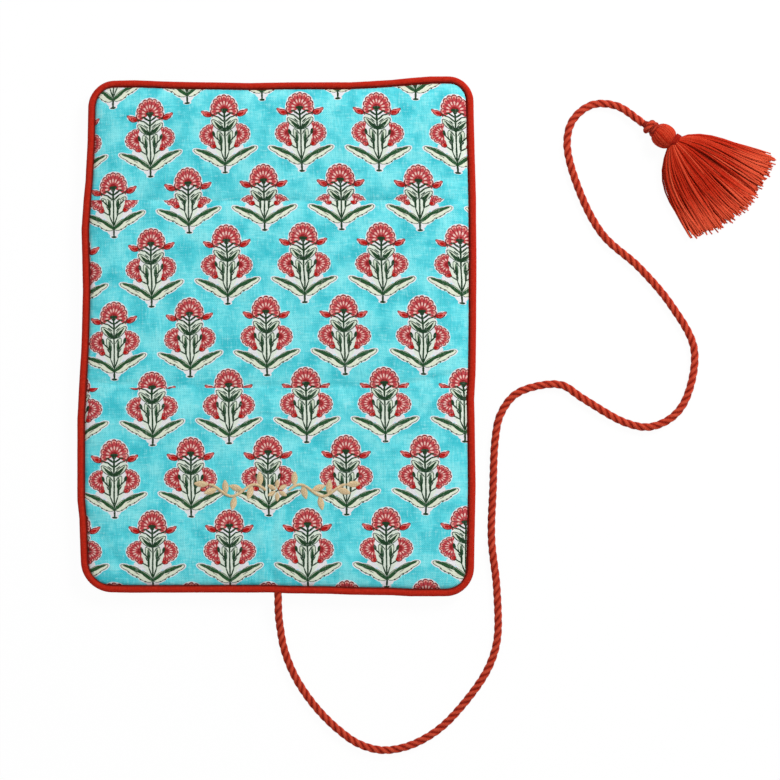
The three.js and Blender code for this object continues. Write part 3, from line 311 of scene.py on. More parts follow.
def woven_height(tree, point, pitch):
    """Threads that pass over and under each other, pitch apart."""
    turn = math.pi / pitch
    place = add_node(tree, "Mapping", point, (0, 0, 0), (0, 0, 0), (turn, turn, turn))
    split = add_node(tree, "SeparateXYZ", place).node
    weft = add_node(tree, "Math", split.outputs[0], operation="SINE")
    warp = add_node(tree, "Math", split.outputs[1], operation="SINE")
    return add_node(tree, "Math", weft, warp, operation="MULTIPLY")


def slubs(tree, point, long_scale, short_scale):
    """Uneven threads in both directions, 0 to 1."""
    runs = []
    for scale in ((long_scale, short_scale, 1), (short_scale, long_scale, 1)):
        place = add_node(tree, "Mapping", point, (0, 0, 0), (0, 0, 0), scale)
        runs.append(add_node(tree, "TexNoise", sockets={
            "Vector": place, "Scale": 1.0, "Detail": 3.0, "Roughness": 0.6}))
    both = add_node(tree, "Math", runs[0], runs[1], operation="ADD")
    return add_node(tree, "MapRange", both, 0.78, 1.22, 0.0, 1.0)


def surface(tree, colour, height, depth, roughness, sheen, metallic=0.0):
    """A cloth or yarn shader with colour, fine relief and a soft sheen."""
    relief = add_node(tree, "Bump", sockets={"Strength": 1.0, "Distance": depth, "Height": height})
    shader = add_node(tree, "BsdfPrincipled", sockets={
        "Base Color": colour, "Normal": relief, "Roughness": roughness, "Metallic": metallic,
        "Specular IOR Level": 0.08, "Sheen Weight": sheen, "Sheen Roughness": 0.45})
    add_node(tree, "OutputMaterial", shader)


# The printed sprig, in millimetres from its foot, right half only. Each shape is an ellipse: its middle, half
# length, half width and turn in degrees.
PRINT_SHAPES = {
    # White that the dye leaves round the sprig.
    "halo": [
        (0, 0.6, 2.3, 1.1, 0), (0, 3.4, 3.3, 1.6, 90), (2.0, 8.2, 4.6, 2.3, 68),
        (5.4, 12.9, 4.8, 2.3, 12), (2.8, 18.5, 6.4, 4.0, 90), (3.4, 27.2, 4.5, 3.3, 26),
        (2.8, 31.4, 4.6, 2.5, 0), (9.9, 32.4, 3.0, 1.75, 20), (4.3, 6.7, 5.2, 2.85, 34),
        (9.7, 9.8, 5.7, 2.85, 27), (14.0, 11.9, 4.2, 2.0, 23), (1.7, 3.0, 2.7, 1.5, 45),
        (0.4, 11.0, 3.4, 1.4, 90),
    ],
    # Greener white between the stems.
    "core": [
        (2.7, 17.0, 6.6, 3.3, 90), (3.1, 27.4, 4.0, 2.7, 27), (1.6, 8.6, 4.2, 1.7, 72),
        (0.4, 11.4, 3.0, 1.0, 90),
    ],
    # The big leaves: their edges, then what the edges hold.
    "leaf": [(4.6, 7.0, 5.0, 2.4, 33), (9.6, 9.9, 5.2, 2.35, 27), (13.6, 11.8, 3.9, 1.55, 23)],
    "pale": [(4.6, 7.0, 4.6, 2.08, 33), (9.6, 9.9, 4.85, 2.02, 27), (13.6, 11.8, 3.5, 1.2, 23)],
    # Stems, veins and serrations.
    "stroke": [
        (0, 0.3, 1.5, 0.6, 0), (0, 2.7, 2.7, 0.55, 90), (0, 11, 8, 0.45, 90), (0, 20, 9, 0.46, 90),
        (0, 29, 6, 0.56, 90), (1.1, 8.9, 3.5, 0.38, 70), (2.2, 14.4, 3.0, 0.6, 88),
        (3.9, 13.3, 2.2, 0.36, 32), (4.2, 18.6, 3.0, 0.4, 46), (6.0, 21.3, 1.6, 0.78, 76),
        (1.2, 23.9, 2.3, 0.85, 46), (1.9, 29.0, 2.6, 0.45, 41), (5.0, 30.7, 2.5, 0.38, 18),
        (2.0, 31.4, 2.5, 0.53, 35), (3.8, 32.4, 1.3, 0.44, -8), (0, 34.2, 2.2, 0.85, 0),
        (0, 33.3, 1.2, 1.3, 0), (4.2, 4.3, 0.55, 0.36, 10), (6.6, 5.5, 0.55, 0.36, 32),
        (8.6, 6.8, 0.55, 0.36, 34), (10.7, 8.0, 0.55, 0.36, 33), (12.9, 9.5, 0.55, 0.34, 30),
        (2.5, 17.6, 2.2, 0.48, 80), (4.3, 26.6, 2.2, 0.4, 46), (2.2, 27.4, 1.6, 0.34, 40),
        (3.5, 24.7, 1.6, 0.26, 52), (1.5, 21.2, 1.6, 0.3, 58), (3.3, 16.2, 1.4, 0.3, 60),
        (5.6, 8.3, 2.6, 0.2, 36), (10.4, 10.4, 2.6, 0.2, 27), (8.0, 8.6, 1.6, 0.16, 30),
    ],
    # Dark sides of the leaves.
    "band": [
        (3.2, 7.1, 4.2, 0.95, 39), (8.8, 10.6, 4.4, 0.92, 27), (13.1, 12.3, 3.0, 0.6, 20),
        (2.9, 25.0, 2.9, 0.82, 45), (2.3, 18.6, 2.9, 0.5, 80),
    ],
    # The small outlined leaves, then what the lines hold.
    "outlined": [(3.7, 25.8, 4.4, 1.75, 42), (2.8, 19.4, 3.8, 1.3, 78)],
    "inside": [(3.7, 25.8, 3.9, 1.3, 42), (2.8, 19.4, 3.3, 0.9, 78)],
    # Buds, and their dark hearts.
    "bud": [(9.3, 31.9, 2.7, 1.65, 18), (11.4, 33.1, 1.6, 0.85, 34), (6.6, 14.8, 1.8, 1.3, 12)],
    "heart": [(8.8, 31.7, 1.8, 0.85, 16), (6.1, 14.8, 1.1, 0.85, 12)],
}

# Its three fan flowers: the middle, the reach and the turn of each kind, where the top one starts, and the
# turn from one petal to the next.
TOP_FLOWER = (0, 33.9)
TOP_FLOWER_REACH = (8.8, 7.75)
TOP_FLOWER_TURN = math.pi / 2
TOP_FLOWER_FROM = 29.5
SIDE_FLOWER = (6.5, 20.8)
SIDE_FLOWER_REACH = (7.4, 6.0)
SIDE_FLOWER_TURN = math.radians(-4)
PETAL_TURN = math.radians(24)

# How sprigs repeat. Each has its own cell of cloth, whose top slopes down and whose foot slopes up towards
# its sides. A sprig leans by a share of its height, and its height is stretched and shifted.
SPRIG_PITCH = 41.0
ROW_PITCH = 38.5
SPRIG_BELOW = 14.0
CELL_TOP = 46.0
CELL_FOOT = -2.33
CELL_SLOPE = 0.5
LEAN = 0.0054
SPRIG_STRETCH = (1.0030, -0.061)

# How the print lies on the panel. Tucks in the two folds hide a strip of it, and it was cut a little off
# grain: constant, by X, by X squared, then the same three by Y and by Y squared, in hundreds of millimetres.
TUCKS = {FOLD_LOW: 2.5, FOLD_HIGH: 7.06}
GRAIN_ACROSS = (-15.70, 99.03, -1.44, 1.35, 0.97, -0.35, 0.48, 0.38, -0.05)
GRAIN_UP = (-135.38, -1.67, 1.61, -0.72, -0.45, 1.86, 0.33, 0.02, -0.27)
GRAIN_MIDDLE = -20.0


def sprig_place(tree, place):
    """Coordinates inside the sprig that covers a point of the cloth, in rows set half a pitch apart."""
    half = SPRIG_PITCH / 2
    split = add_node(tree, "SeparateXYZ", place).node
    across = add_node(tree, "Math", split.outputs[0], half, -half, operation="WRAP")
    lifted = add_node(tree, "Math", split.outputs[1], ROW_PITCH, operation="ADD")
    up = add_node(tree, "Math", lifted, 2 * ROW_PITCH - SPRIG_BELOW, -SPRIG_BELOW, operation="WRAP")
    away = add_node(tree, "Math", across, operation="ABSOLUTE")
    top = add_node(tree, "Math", away, -CELL_SLOPE, CELL_TOP, operation="MULTIPLY_ADD")
    foot = add_node(tree, "Math", away, CELL_SLOPE, CELL_FOOT, operation="MULTIPLY_ADD")
    below_top = add_node(tree, "Math", up, top, operation="LESS_THAN")
    above_foot = add_node(tree, "Math", up, foot, operation="GREATER_THAN")
    own = add_node(tree, "Math", below_top, above_foot, operation="MULTIPLY")
    side = add_node(tree, "Math", across, operation="SIGN")
    other_across = add_node(tree, "Math", side, -half, across, operation="MULTIPLY_ADD")
    high = add_node(tree, "Math", up, ROW_PITCH / 2, operation="GREATER_THAN")
    row_shift = add_node(tree, "Math", high, -2 * ROW_PITCH, ROW_PITCH, operation="MULTIPLY_ADD")
    other_up = add_node(tree, "Math", up, row_shift, operation="ADD")
    sprig_across = add_node(tree, "Mix", sockets={0: own, 2: other_across, 3: across})
    sprig_up = add_node(tree, "Mix", sockets={0: own, 2: other_up, 3: up})
    sprig_up = add_node(tree, "Math", sprig_up, *SPRIG_STRETCH, operation="MULTIPLY_ADD")
    leaned = add_node(tree, "Math", sprig_up, LEAN, sprig_across, operation="MULTIPLY_ADD")
    mirrored = add_node(tree, "Math", leaned, operation="ABSOLUTE")
    return add_node(tree, "CombineXYZ", mirrored, sprig_up, 0.0), sprig_up


def fan_flower(tree, point, sprig_up):
    """Masks of the scalloped flowers: the whole, its halo, and the inks laid inside it."""
    is_top = add_node(tree, "Math", sprig_up, TOP_FLOWER_FROM, operation="GREATER_THAN")
    top = add_node(tree, "Mapping", point, (*TOP_FLOWER, 0), (0, 0, TOP_FLOWER_TURN),
                   (*TOP_FLOWER_REACH, 1), vector_type="TEXTURE")
    side = add_node(tree, "Mapping", point, (*SIDE_FLOWER, 0), (0, 0, SIDE_FLOWER_TURN),
                    (*SIDE_FLOWER_REACH, 1), vector_type="TEXTURE")
    local = add_node(tree, "Mix", sockets={0: is_top, 4: side, 5: top}, data_type="VECTOR", out=1)
    # The side flowers open a little past a half round, and the top one further.
    span = add_node(tree, "Math", is_top, 0.33, 1.72, operation="MULTIPLY_ADD")
    split = add_node(tree, "SeparateXYZ", local).node
    reach = add_node(tree, "VectorMath", local, operation="LENGTH", out=1)
    angle = add_node(tree, "Math", split.outputs[1], split.outputs[0], operation="ARCTAN2")
    # Scalloped petals: 1 along the middle of each and 0 between two.
    wave = add_node(tree, "Math", angle, math.pi / PETAL_TURN, operation="MULTIPLY")
    wave = add_node(tree, "Math", wave, operation="COSINE")
    petal = add_node(tree, "Math", wave, operation="ABSOLUTE")
    rounded = add_node(tree, "Math", petal, 0.5, operation="POWER")
    edge = add_node(tree, "Math", rounded, 0.13, 0.87, operation="MULTIPLY_ADD")
    open_angle = add_node(tree, "Math", angle, operation="ABSOLUTE")
    in_span = add_node(tree, "Math", open_angle, span, operation="LESS_THAN")
    in_edge = add_node(tree, "Math", reach, edge, operation="LESS_THAN")
    whole = add_node(tree, "Math", in_span, in_edge, operation="MULTIPLY")
    halo = add_node(tree, "Math", reach, 1.035, operation="LESS_THAN")
    # Dark lines round the rim and between the petals, as shares of the way from the heart to the rim.
    share = add_node(tree, "Math", reach, edge, operation="DIVIDE")
    rim = add_node(tree, "Math", share, 0.92, operation="GREATER_THAN")
    valley = add_node(tree, "Math", petal, 0.26, operation="LESS_THAN")
    outer = add_node(tree, "Math", share, 0.5, operation="GREATER_THAN")
    gaps = add_node(tree, "Math", valley, outer, operation="MULTIPLY")
    lines = add_node(tree, "Math", rim, gaps, operation="MAXIMUM")
    deep_edge = add_node(tree, "Math", petal, -0.1, 0.86, operation="MULTIPLY_ADD")
    deep = add_node(tree, "Math", share, deep_edge, operation="LESS_THAN")
    # A ring of pale drops, then one of red seeds, each widest at its own distance from the heart.
    from_drop = add_node(tree, "Math", reach, -0.47, operation="ADD")
    drop_shape = add_node(tree, "Math", from_drop, from_drop, operation="MULTIPLY")
    drop_limit = add_node(tree, "Math", drop_shape, 22.0, 0.7, operation="MULTIPLY_ADD")
    drops = add_node(tree, "Math", petal, drop_limit, operation="GREATER_THAN")
    from_seed = add_node(tree, "Math", share, -0.8, operation="ADD")
    seed_shape = add_node(tree, "Math", from_seed, from_seed, operation="MULTIPLY")
    seed_limit = add_node(tree, "Math", seed_shape, 60.0, 0.8, operation="MULTIPLY_ADD")
    seeds = add_node(tree, "Math", petal, seed_limit, operation="GREATER_THAN")
    heart = add_node(tree, "Math", reach, 0.27, operation="LESS_THAN")
    return whole, halo, [("deep", deep), ("seed", seeds), ("drop", drops), ("line", lines), ("heart", heart)]


def block_print_cotton(colours):
    """Slubby plain-woven cotton, dyed and block printed: matt, with soft uneven edges to each colour."""
    material, tree = empty_material("block_print_cotton")
    cloth = add_node(tree, "UVMap", uv_map="cloth_mm")
    # The carved block's edges waver a little, and the ink creeps along the threads.
    wander = add_node(tree, "TexNoise", sockets={"Vector": cloth, "Scale": 0.07, "Detail": 1.0}, out=1)
    creep = add_node(tree, "TexNoise", sockets={"Vector": cloth, "Scale": 1.1, "Detail": 2.0}, out=1)
    place = add_node(tree, "VectorMath", wander, (1.2, 1.2, 0), cloth, operation="MULTIPLY_ADD")
    place = add_node(tree, "VectorMath", creep, (0.34, 0.34, 0), place, operation="MULTIPLY_ADD")
    place = add_node(tree, "VectorMath", place, (-0.77, -0.77, 0), operation="ADD")
    point, sprig_up = sprig_place(tree, place)
    whole, flower_halo, details = fan_flower(tree, point, sprig_up)

    # Real threads lie 0.3 mm apart, too fine to show here, so the uneven ones are drawn about 1 mm wide and
    # the weave with 0.55 mm between its threads.
    thread = slubs(tree, cloth, 0.16, 1.05)
    flecks = add_node(tree, "TexNoise", sockets={
        "Vector": cloth, "Scale": 1.5, "Detail": 2.0, "Roughness": 0.7})
    clouds = add_node(tree, "TexNoise", sockets={"Vector": cloth, "Scale": 0.085, "Detail": 3.0})
    ground = overprint(tree, tuple(colours.ground), [
        ("#8CE8EC", (clouds, 0.48, 0.66, 0.72)),
        ("#2FB8C6", (clouds, 0.5, 0.34, 0.85)),
        ("#3FC0CC", (thread, 0.5, 0.0, 0.45)),
        ("#86E4EA", (thread, 0.5, 1.0, 0.32)),
        ("#35B2C2", (flecks, 0.42, 0.3, 0.4)),
        ("#A8ECEE", (flecks, 0.6, 0.72, 0.4)),
    ])

    masks, reach = {}, {}
    for name, shapes in PRINT_SHAPES.items():
        reach[name] = nearest_shape(tree, point, shapes)
        masks[name] = add_node(tree, "Math", reach[name], 1.0, operation="LESS_THAN")
    bud_rim = add_node(tree, "Math", reach["bud"], 0.72, operation="GREATER_THAN")
    bud_edge = add_node(tree, "Math", masks["bud"], bud_rim, operation="MULTIPLY")
    halo_span = add_node(tree, "Math", flower_halo, masks["halo"], operation="MAXIMUM")
    inks = {"line": "#742028", "deep": "#B84448", "seed": "#B0383E", "drop": "#E0BAB0",
            "heart": "#8E2226"}
    petals = overprint(tree, linear("#E29C92"), [(inks[name], mask) for name, mask in details])
    outline = add_node(tree, "Math", masks["outlined"], masks["inside"], operation="SUBTRACT")
    printed = overprint(tree, ground, [
        ("#E0DFE2", halo_span),
        ("#D6E0D2", masks["core"]),
        ("#3C5A44", masks["leaf"]),
        ("#DAE0CB", masks["pale"]),
        (petals, whole),
        (tuple(colours.flower), masks["bud"]),
        ("#6A1820", bud_edge),
        ("#A81410", masks["heart"]),
        ("#CDD8C4", masks["inside"]),
        ("#28463A", outline),
        ("#28502F", masks["band"]),
        (tuple(colours.leaf), masks["stroke"]),
    ])
    printed = overprint(tree, printed, [("#E9F2EE", (thread, 0.7, 1.0, 0.12))])
    weave = woven_height(tree, cloth, 0.55)
    height = add_node(tree, "Math", thread, 2.2, weave, operation="MULTIPLY_ADD")
    surface(tree, printed, height, 0.00006, 0.88, 0.04)
    return material


def plain_cotton(name, colour, dark, light, pitch):
    """Plain-woven cotton in one dye: matt, with faint uneven threads and painted shade where a seam grips it.
    """
    material, tree = empty_material(name)
    cloth = add_node(tree, "UVMap", uv_map="cloth_mm")
    thread = slubs(tree, cloth, 0.2, 2.6)
    # Painted shade where the seam grips the cloth: its folds are darkened there, as they hold less light.
    painted_seam_shade = add_node(tree, "Attribute", attribute_name="tone_and_painted_shading", out=2)
    tone = overprint(tree, tuple(colour), [
        (dark, (thread, 0.5, 0.0, 0.6)),
        (light, (thread, 0.5, 1.0, 0.6)),
        ("#2A0A06", (painted_seam_shade, 0.5, 0.0, 0.85)),
    ])
    # Real threads lie 0.3 mm apart, too fine to show, so the weave is drawn as coarse as the pitch says.
    weave = woven_height(tree, cloth, pitch)
    height = add_node(tree, "Math", thread, 1.6, weave, operation="MULTIPLY_ADD")
    surface(tree, tone, height, 0.00005, 0.86, 0.03)
    return material


def soft_wadding():
    """Carded cotton wadding: matt white fibre with no weave."""
    material, tree = empty_material("cotton_wadding")
    place = add_node(tree, "TexCoord", out=3)
    fibre = add_node(tree, "TexNoise", sockets={"Vector": place, "Scale": 900.0, "Detail": 4.0})
    tone = overprint(tree, linear("#F2EDE2"), [("#D9D1C1", fibre)])
    surface(tree, tone, fibre, 0.0003, 0.95, 0.3)
    return material


def spun_yarn(name, colour, dark, light, twist, depth):
    """Soft mercerised yarn: fine plies wind round each strand, with a low sheen, lighter fuzz, and painted
    highlight and shade.
    """
    material, tree = empty_material(name)
    place = add_node(tree, "UVMap", uv_map="cloth_mm")
    split = add_node(tree, "SeparateXYZ", place).node
    slant = add_node(tree, "Math", split.outputs[0], twist, split.outputs[1], operation="MULTIPLY_ADD")
    plies = add_node(tree, "Math", slant, math.pi / 0.34, operation="MULTIPLY")
    plies = add_node(tree, "Math", plies, operation="SINE")
    plies = add_node(tree, "MapRange", plies, -1.0, 1.0, 0.0, 1.0)
    shade = add_node(tree, "Attribute", attribute_name="tone_and_painted_shading", out=2)
    fuzz = add_node(tree, "TexNoise", sockets={"Vector": place, "Scale": 1.6, "Detail": 3.0})
    # Painted highlight and painted shade from each piece's tone and shading values, painted shade between the
    # plies, and lighter fuzz at random.
    tone = overprint(tree, tuple(colour), [
        (light, (shade, 0.5, 1.0, 0.85)),
        (dark, (shade, 0.5, 0.0, 0.85)),
        (dark, (plies, 0.45, 0.0, 0.25)),
        (light, (fuzz, 0.55, 0.75, 0.5)),
    ])
    height = add_node(tree, "Math", fuzz, 0.8, plies, operation="MULTIPLY_ADD")
    surface(tree, tone, height, depth, 0.82, 0.03)
    return material


def zip_tape_weave(colour):
    """Polyester zip tape: a tight herringbone with a faint satin sheen."""
    material, tree = empty_material("woven_zip_tape")
    place = add_node(tree, "UVMap", uv_map="cloth_mm")
    split = add_node(tree, "SeparateXYZ", place).node
    folded = add_node(tree, "Math", split.outputs[1], 1.6, operation="PINGPONG")
    slant = add_node(tree, "Math", folded, 1.0, split.outputs[0], operation="MULTIPLY_ADD")
    ribs = add_node(tree, "Math", slant, math.pi / 0.4, operation="MULTIPLY")
    ribs = add_node(tree, "Math", ribs, operation="SINE")
    # Painted shade in the grooves between the ribs.
    tone = overprint(tree, tuple(colour), [
        ("#7E2219", (ribs, 0.0, -1.0, 0.6))])
    surface(tree, tone, ribs, 0.00008, 0.6, 0.2)
    return material


def antique_brass(colour):
    """Cast and tumbled brass: warm metal, brighter where it rubs and dull in its hollows."""
    material, tree = empty_material("antique_brass")
    place = add_node(tree, "TexCoord", out=3)
    tarnish = add_node(tree, "TexNoise", sockets={"Vector": place, "Scale": 420.0, "Detail": 4.0})
    grain = add_node(tree, "TexNoise", sockets={"Vector": place, "Scale": 5200.0, "Detail": 2.0})
    tone = overprint(tree, tuple(colour), [("#6E5330", (tarnish, 0.45, 0.7, 0.8))])
    roughness = add_node(tree, "MapRange", tarnish, 0.35, 0.7, 0.26, 0.5)
    relief = add_node(tree, "Bump", sockets={"Strength": 0.4, "Distance": 0.00002, "Height": grain})
    shader = add_node(tree, "BsdfPrincipled", sockets={
        "Base Color": tone, "Metallic": 1.0, "Roughness": roughness, "Normal": relief})
    add_node(tree, "OutputMaterial", shader)
    return material


def moulded_acetal(colour):
    """Injection-moulded acetal, dyed through: an even colour with a soft satin shine and faint flow marks."""
    material, tree = empty_material("moulded_acetal")
    place = add_node(tree, "TexCoord", out=3)
    flow = add_node(tree, "TexNoise", sockets={"Vector": place, "Scale": 260.0, "Detail": 2.0})
    grain = add_node(tree, "TexNoise", sockets={"Vector": place, "Scale": 4200.0, "Detail": 2.0})
    tone = overprint(tree, tuple(colour), [("#8E2E20", (flow, 0.45, 0.75, 0.4))])
    relief = add_node(tree, "Bump", sockets={"Strength": 0.3, "Distance": 0.00001, "Height": grain})
    shader = add_node(tree, "BsdfPrincipled", sockets={
        "Base Color": tone, "IOR": 1.48, "Roughness": 0.38, "Normal": relief})
    add_node(tree, "OutputMaterial", shader)
    return material


def satin_thread():
    """Metallic satin-stitch thread: close parallel stitches that shine softly along their length, with
    painted shade between them and painted glints.
    """
    material, tree = empty_material("gold_satin_thread")
    place = add_node(tree, "UVMap", uv_map="cloth_mm")
    split = add_node(tree, "SeparateXYZ", place).node
    rows = add_node(tree, "Math", split.outputs[0], math.pi / 0.22, operation="MULTIPLY")
    rows = add_node(tree, "Math", rows, operation="SINE")
    painted_glint = add_node(tree, "TexNoise", sockets={"Vector": place, "Scale": 2.4, "Detail": 2.0})
    # Painted shade between the stitches, and painted glints scattered over them.
    tone = overprint(tree, linear("#E0C498"), [
        ("#8F7148", (rows, -0.1, -1.0, 0.9)),
        ("#FBEBC8", (painted_glint, 0.52, 0.68, 0.9)),
    ])
    surface(tree, tone, rows, 0.00007, 0.45, 0.2, metallic=0.25)
    return material


MATERIALS = {}


def finish(name, colours):
    """The material of that name, made when it is first asked for."""
    # Each yarn: its name, colour, the colours of its painted shade and painted highlight, the twist of its
    # plies and the depth of its relief.
    yarns = {
        "filler": ("filler_cotton_cord", linear("#E8DFCB"), "#C9BCA0", "#F8F2E6", 0.8, 0.0001),
        "cord": ("twisted_cotton_yarn", colours.cord, "#640A02", "#DC5E42", -0.9, 0.00012),
        "tassel": ("tassel_cotton_yarn", colours.tassel, "#840600", "#E05C3C", 0.8, 0.0001),
        "thread": ("sewing_thread", linear("#B43A2A"), "#8E2A1E", "#D06A58", 0.8, 0.00004),
    }
    cloths = {
        "piping": ("bias_cotton", colours.piping, "#951A0C", "#C43A26", 0.42),
        "lining": ("lining_cotton", colours.lining, "#8C2A1B", "#BE5843", 0.5),
        "pocket": ("pocket_cotton", colours.pocket, "#842716", "#B65039", 0.5),
        "strap": ("strap_cotton", colours.piping, "#8E2A1E", "#CE6050", 0.5),
    }
    others = {
        "print": lambda: block_print_cotton(colours),
        "wadding": soft_wadding,
        "tape": lambda: zip_tape_weave(colours.piping),
        "teeth": lambda: moulded_acetal(colours.teeth),
        "brass": lambda: antique_brass(colours.metal),
        "gold": satin_thread,
    }
    if name not in MATERIALS:
        if name in yarns:
            MATERIALS[name] = spun_yarn(*yarns[name])
        elif name in cloths:
            MATERIALS[name] = plain_cotton(*cloths[name])
        else:
            MATERIALS[name] = others[name]()
    return MATERIALS[name]


def smooth(share):
    """A smooth step from 0 to 1."""
    share = min(max(share, 0.0), 1.0)
    return share * share * (3 - 2 * share)


def swell(share):
    """A quick rise that levels off at 1."""
    share = min(max(share, 0.0), 1.0)
    return 1 - (1 - share) ** 2.2


def wobble(x, y, z=0.0):
    """Smooth noise from -1 to 1."""
    return noise.noise(Vector((x, y, z)))


def drifted(x, y):
    """A place on the straight-edged panel, moved to where the real sewn edge wanders."""
    left = np.interp(y, *zip(*LEFT_DRIFT)) * max(-x / HALF_WIDTH, 0) ** 2
    right = np.interp(y, *zip(*RIGHT_DRIFT)) * max(x / HALF_WIDTH, 0) ** 2
    top = np.interp(x, *zip(*TOP_DRIFT)) * max(y / HALF_LENGTH, 0) ** 2
    low = np.interp(x, *zip(*LOW_DRIFT)) * max(-y / HALF_LENGTH, 0) ** 2
    return x + left + right, y + top + low


def edge_distance(x, y, inset):
    """Distance in from the panel's rounded outline, less the inset."""
    across = HALF_WIDTH - inset - abs(x)
    along = HALF_LENGTH - inset - abs(y)
    radius = CORNER_RADII[(1 if x > 0 else -1, 1 if y > 0 else -1)] - inset
    if across < radius and along < radius:
        return radius - math.hypot(radius - across, radius - along)
    return min(across, along)


def crease_depth(x, y):
    """How deep the pressed creases lie at a place."""
    depth = 0.0
    for (x0, y0), (x1, y1), width, deep in CREASES:
        run_x, run_y = x1 - x0, y1 - y0
        length = math.hypot(run_x, run_y)
        share = ((x - x0) * run_x + (y - y0) * run_y) / length ** 2
        away = abs((x - x0) * run_y - (y - y0) * run_x) / length
        if away < 3.2 * width and -0.1 < share < 1.1:
            ends = smooth((share + 0.1) / 0.2) * smooth((1.1 - share) / 0.2)
            depth = max(depth, deep * ends * math.exp(-(away / width) ** 2), key=abs)
    return depth


# The cover's wrinkles: spacing of the solver's grid, frames solved, share used and the most they rise.
WRINKLE_STEP = 2.3
WRINKLE_FRAMES = 20
WRINKLE_SHARE = 0.24
WRINKLE_MOST = 0.42
WRINKLES = {}


def solved_cloth(columns, rows):
    """Heights that the cloth solver gives a sheet cut too large, sewn down at its edge and on the wadding."""
    scale = 10 * MM  # ten times life size, at which the solver is steady
    draw = random.Random(3)
    points = [(x * scale, y * scale, draw.uniform(-0.001, 0.001)) for y in rows for x in columns]
    width = len(columns)
    faces = [(k, k + 1, k + width + 1, k + width) for k in range(len(points) - width) if (k + 1) % width]
    mesh = bpy.data.meshes.new("loose_cover")
    mesh.from_pydata(points, [], faces)
    sheet = bpy.data.objects.new("loose_cover", mesh)
    bpy.context.scene.collection.objects.link(sheet)
    held, full = sheet.vertex_groups.new(name="held"), sheet.vertex_groups.new(name="full")
    for place, (x, y) in enumerate((x, y) for y in rows for x in columns):
        edge = max(edge_distance(x, y, COVER_INSET), 0.0)
        fold = min(abs(y - FOLD_LOW), abs(y - FOLD_HIGH))
        held.add([place], 1.0 if edge < 0.6 * WRINKLE_STEP else 0.35, "REPLACE")
        full.add([place], min(math.exp(-edge / 9) + 0.5 * math.exp(-fold / 5), 1.0), "REPLACE")
    cloth = sheet.modifiers.new("cloth", "CLOTH")
    settings = cloth.settings
    settings.mass = 0.15
    settings.tension_stiffness = settings.compression_stiffness = 80
    settings.shear_stiffness = 27
    settings.bending_stiffness = 40
    settings.vertex_group_mass = "held"
    settings.vertex_group_shrink = "full"
    settings.shrink_min, settings.shrink_max = -0.008, -0.05
    settings.effector_weights.gravity = 0
    cloth.collision_settings.use_collision = False
    cloth.point_cache.frame_start, cloth.point_cache.frame_end = 1, WRINKLE_FRAMES
    for moment in range(1, WRINKLE_FRAMES + 1):
        bpy.context.scene.frame_set(moment)
    solved = sheet.evaluated_get(bpy.context.evaluated_depsgraph_get())
    heights = np.array([point.co.z for point in solved.data.vertices]) / scale
    bpy.data.objects.remove(sheet)
    bpy.data.meshes.remove(mesh)
    bpy.context.scene.frame_set(1)
    return heights.reshape(len(rows), width)


def wrinkle(x, y):
    """Height of the cover's wrinkles at a place, from the solver's grid, with a cap on how far they rise."""
    if not WRINKLES:
        half, end = HALF_WIDTH - COVER_INSET, HALF_LENGTH - COVER_INSET
        columns = np.linspace(-half, half, round(2 * half / WRINKLE_STEP) + 1)
        rows = np.linspace(-end, end, round(2 * end / WRINKLE_STEP) + 1)
        heights = solved_cloth(columns, rows)
        heights = np.clip(heights * WRINKLE_SHARE, -WRINKLE_MOST, WRINKLE_MOST)
        WRINKLES.update(low=(columns[0], rows[0]), step=(columns[1] - columns[0], rows[1] - rows[0]),
                        heights=heights.tolist())
    heights = WRINKLES["heights"]
    column = (x - WRINKLES["low"][0]) / WRINKLES["step"][0]
    row = (y - WRINKLES["low"][1]) / WRINKLES["step"][1]
    column = min(max(column, 0.0), len(heights[0]) - 1.001)
    row = min(max(row, 0.0), len(heights) - 1.001)
    left, low = int(column), int(row)
    column, row = smooth(column - left), smooth(row - low)
    lower = heights[low][left] * (1 - column) + heights[low][left + 1] * column
    upper = heights[low + 1][left] * (1 - column) + heights[low + 1][left + 1] * column
    return lower * (1 - row) + upper * row


def cover_height(x, y, sizes):
    """Height of the cover's upper face: crowned between its seams, gathered along them, and creased."""
    edge = max(edge_distance(x, y, COVER_INSET), 0.0)
    across = HALF_WIDTH - COVER_INSET - abs(x)
    along = HALF_LENGTH - COVER_INSET - abs(y)
    body = swell(across / 17) * swell(along / 17)
    fold = 1.0
    for line in (FOLD_LOW, FOLD_HIGH):
        fold -= 0.34 * math.exp(-((y - line) / 6.5) ** 2)
    height = COVER_SEAM + COVER_RISE * (1 - math.exp(-edge / 0.85)) + sizes.crown / MM * body * fold
    # Gathers run in from the four seams and out from the two folds.
    pucker = 0.0
    for distance, run, seed in ((across, y, 3.1 if x > 0 else 9.7), (along, x, 17.3 if y > 0 else 31.9)):
        near = math.exp(-max(distance, 0) / 6.5) * (1 - math.exp(-max(distance, 0) / 1.3))
        fine = 0.6 * wobble(run / 1.9, distance / 14, seed + 5)
        pucker += near * (wobble(run / 3.3, distance / 22, seed) + fine)
    for line in (FOLD_LOW, FOLD_HIGH):
        near = math.exp(-abs(y - line) / 5.5)
        pucker += 0.45 * near * wobble(x / 4.2, (y - line) / 16, line)
    height += 1.55 * sizes.pucker / MM * pucker
    # Away from the seams the quilt is uneven in three sizes of bump.
    loose = smooth(edge / 12)
    height += loose * (0.34 * wobble(x / 24, y / 24, 1.7) + 0.16 * wobble(x / 9.5, y / 11.5, 4.4))
    height += loose * 0.07 * wobble(x / 4.4, y / 4.4, 8.8)
    height += wrinkle(x, y)
    return height - crease_depth(x, y) * smooth(edge / 3)


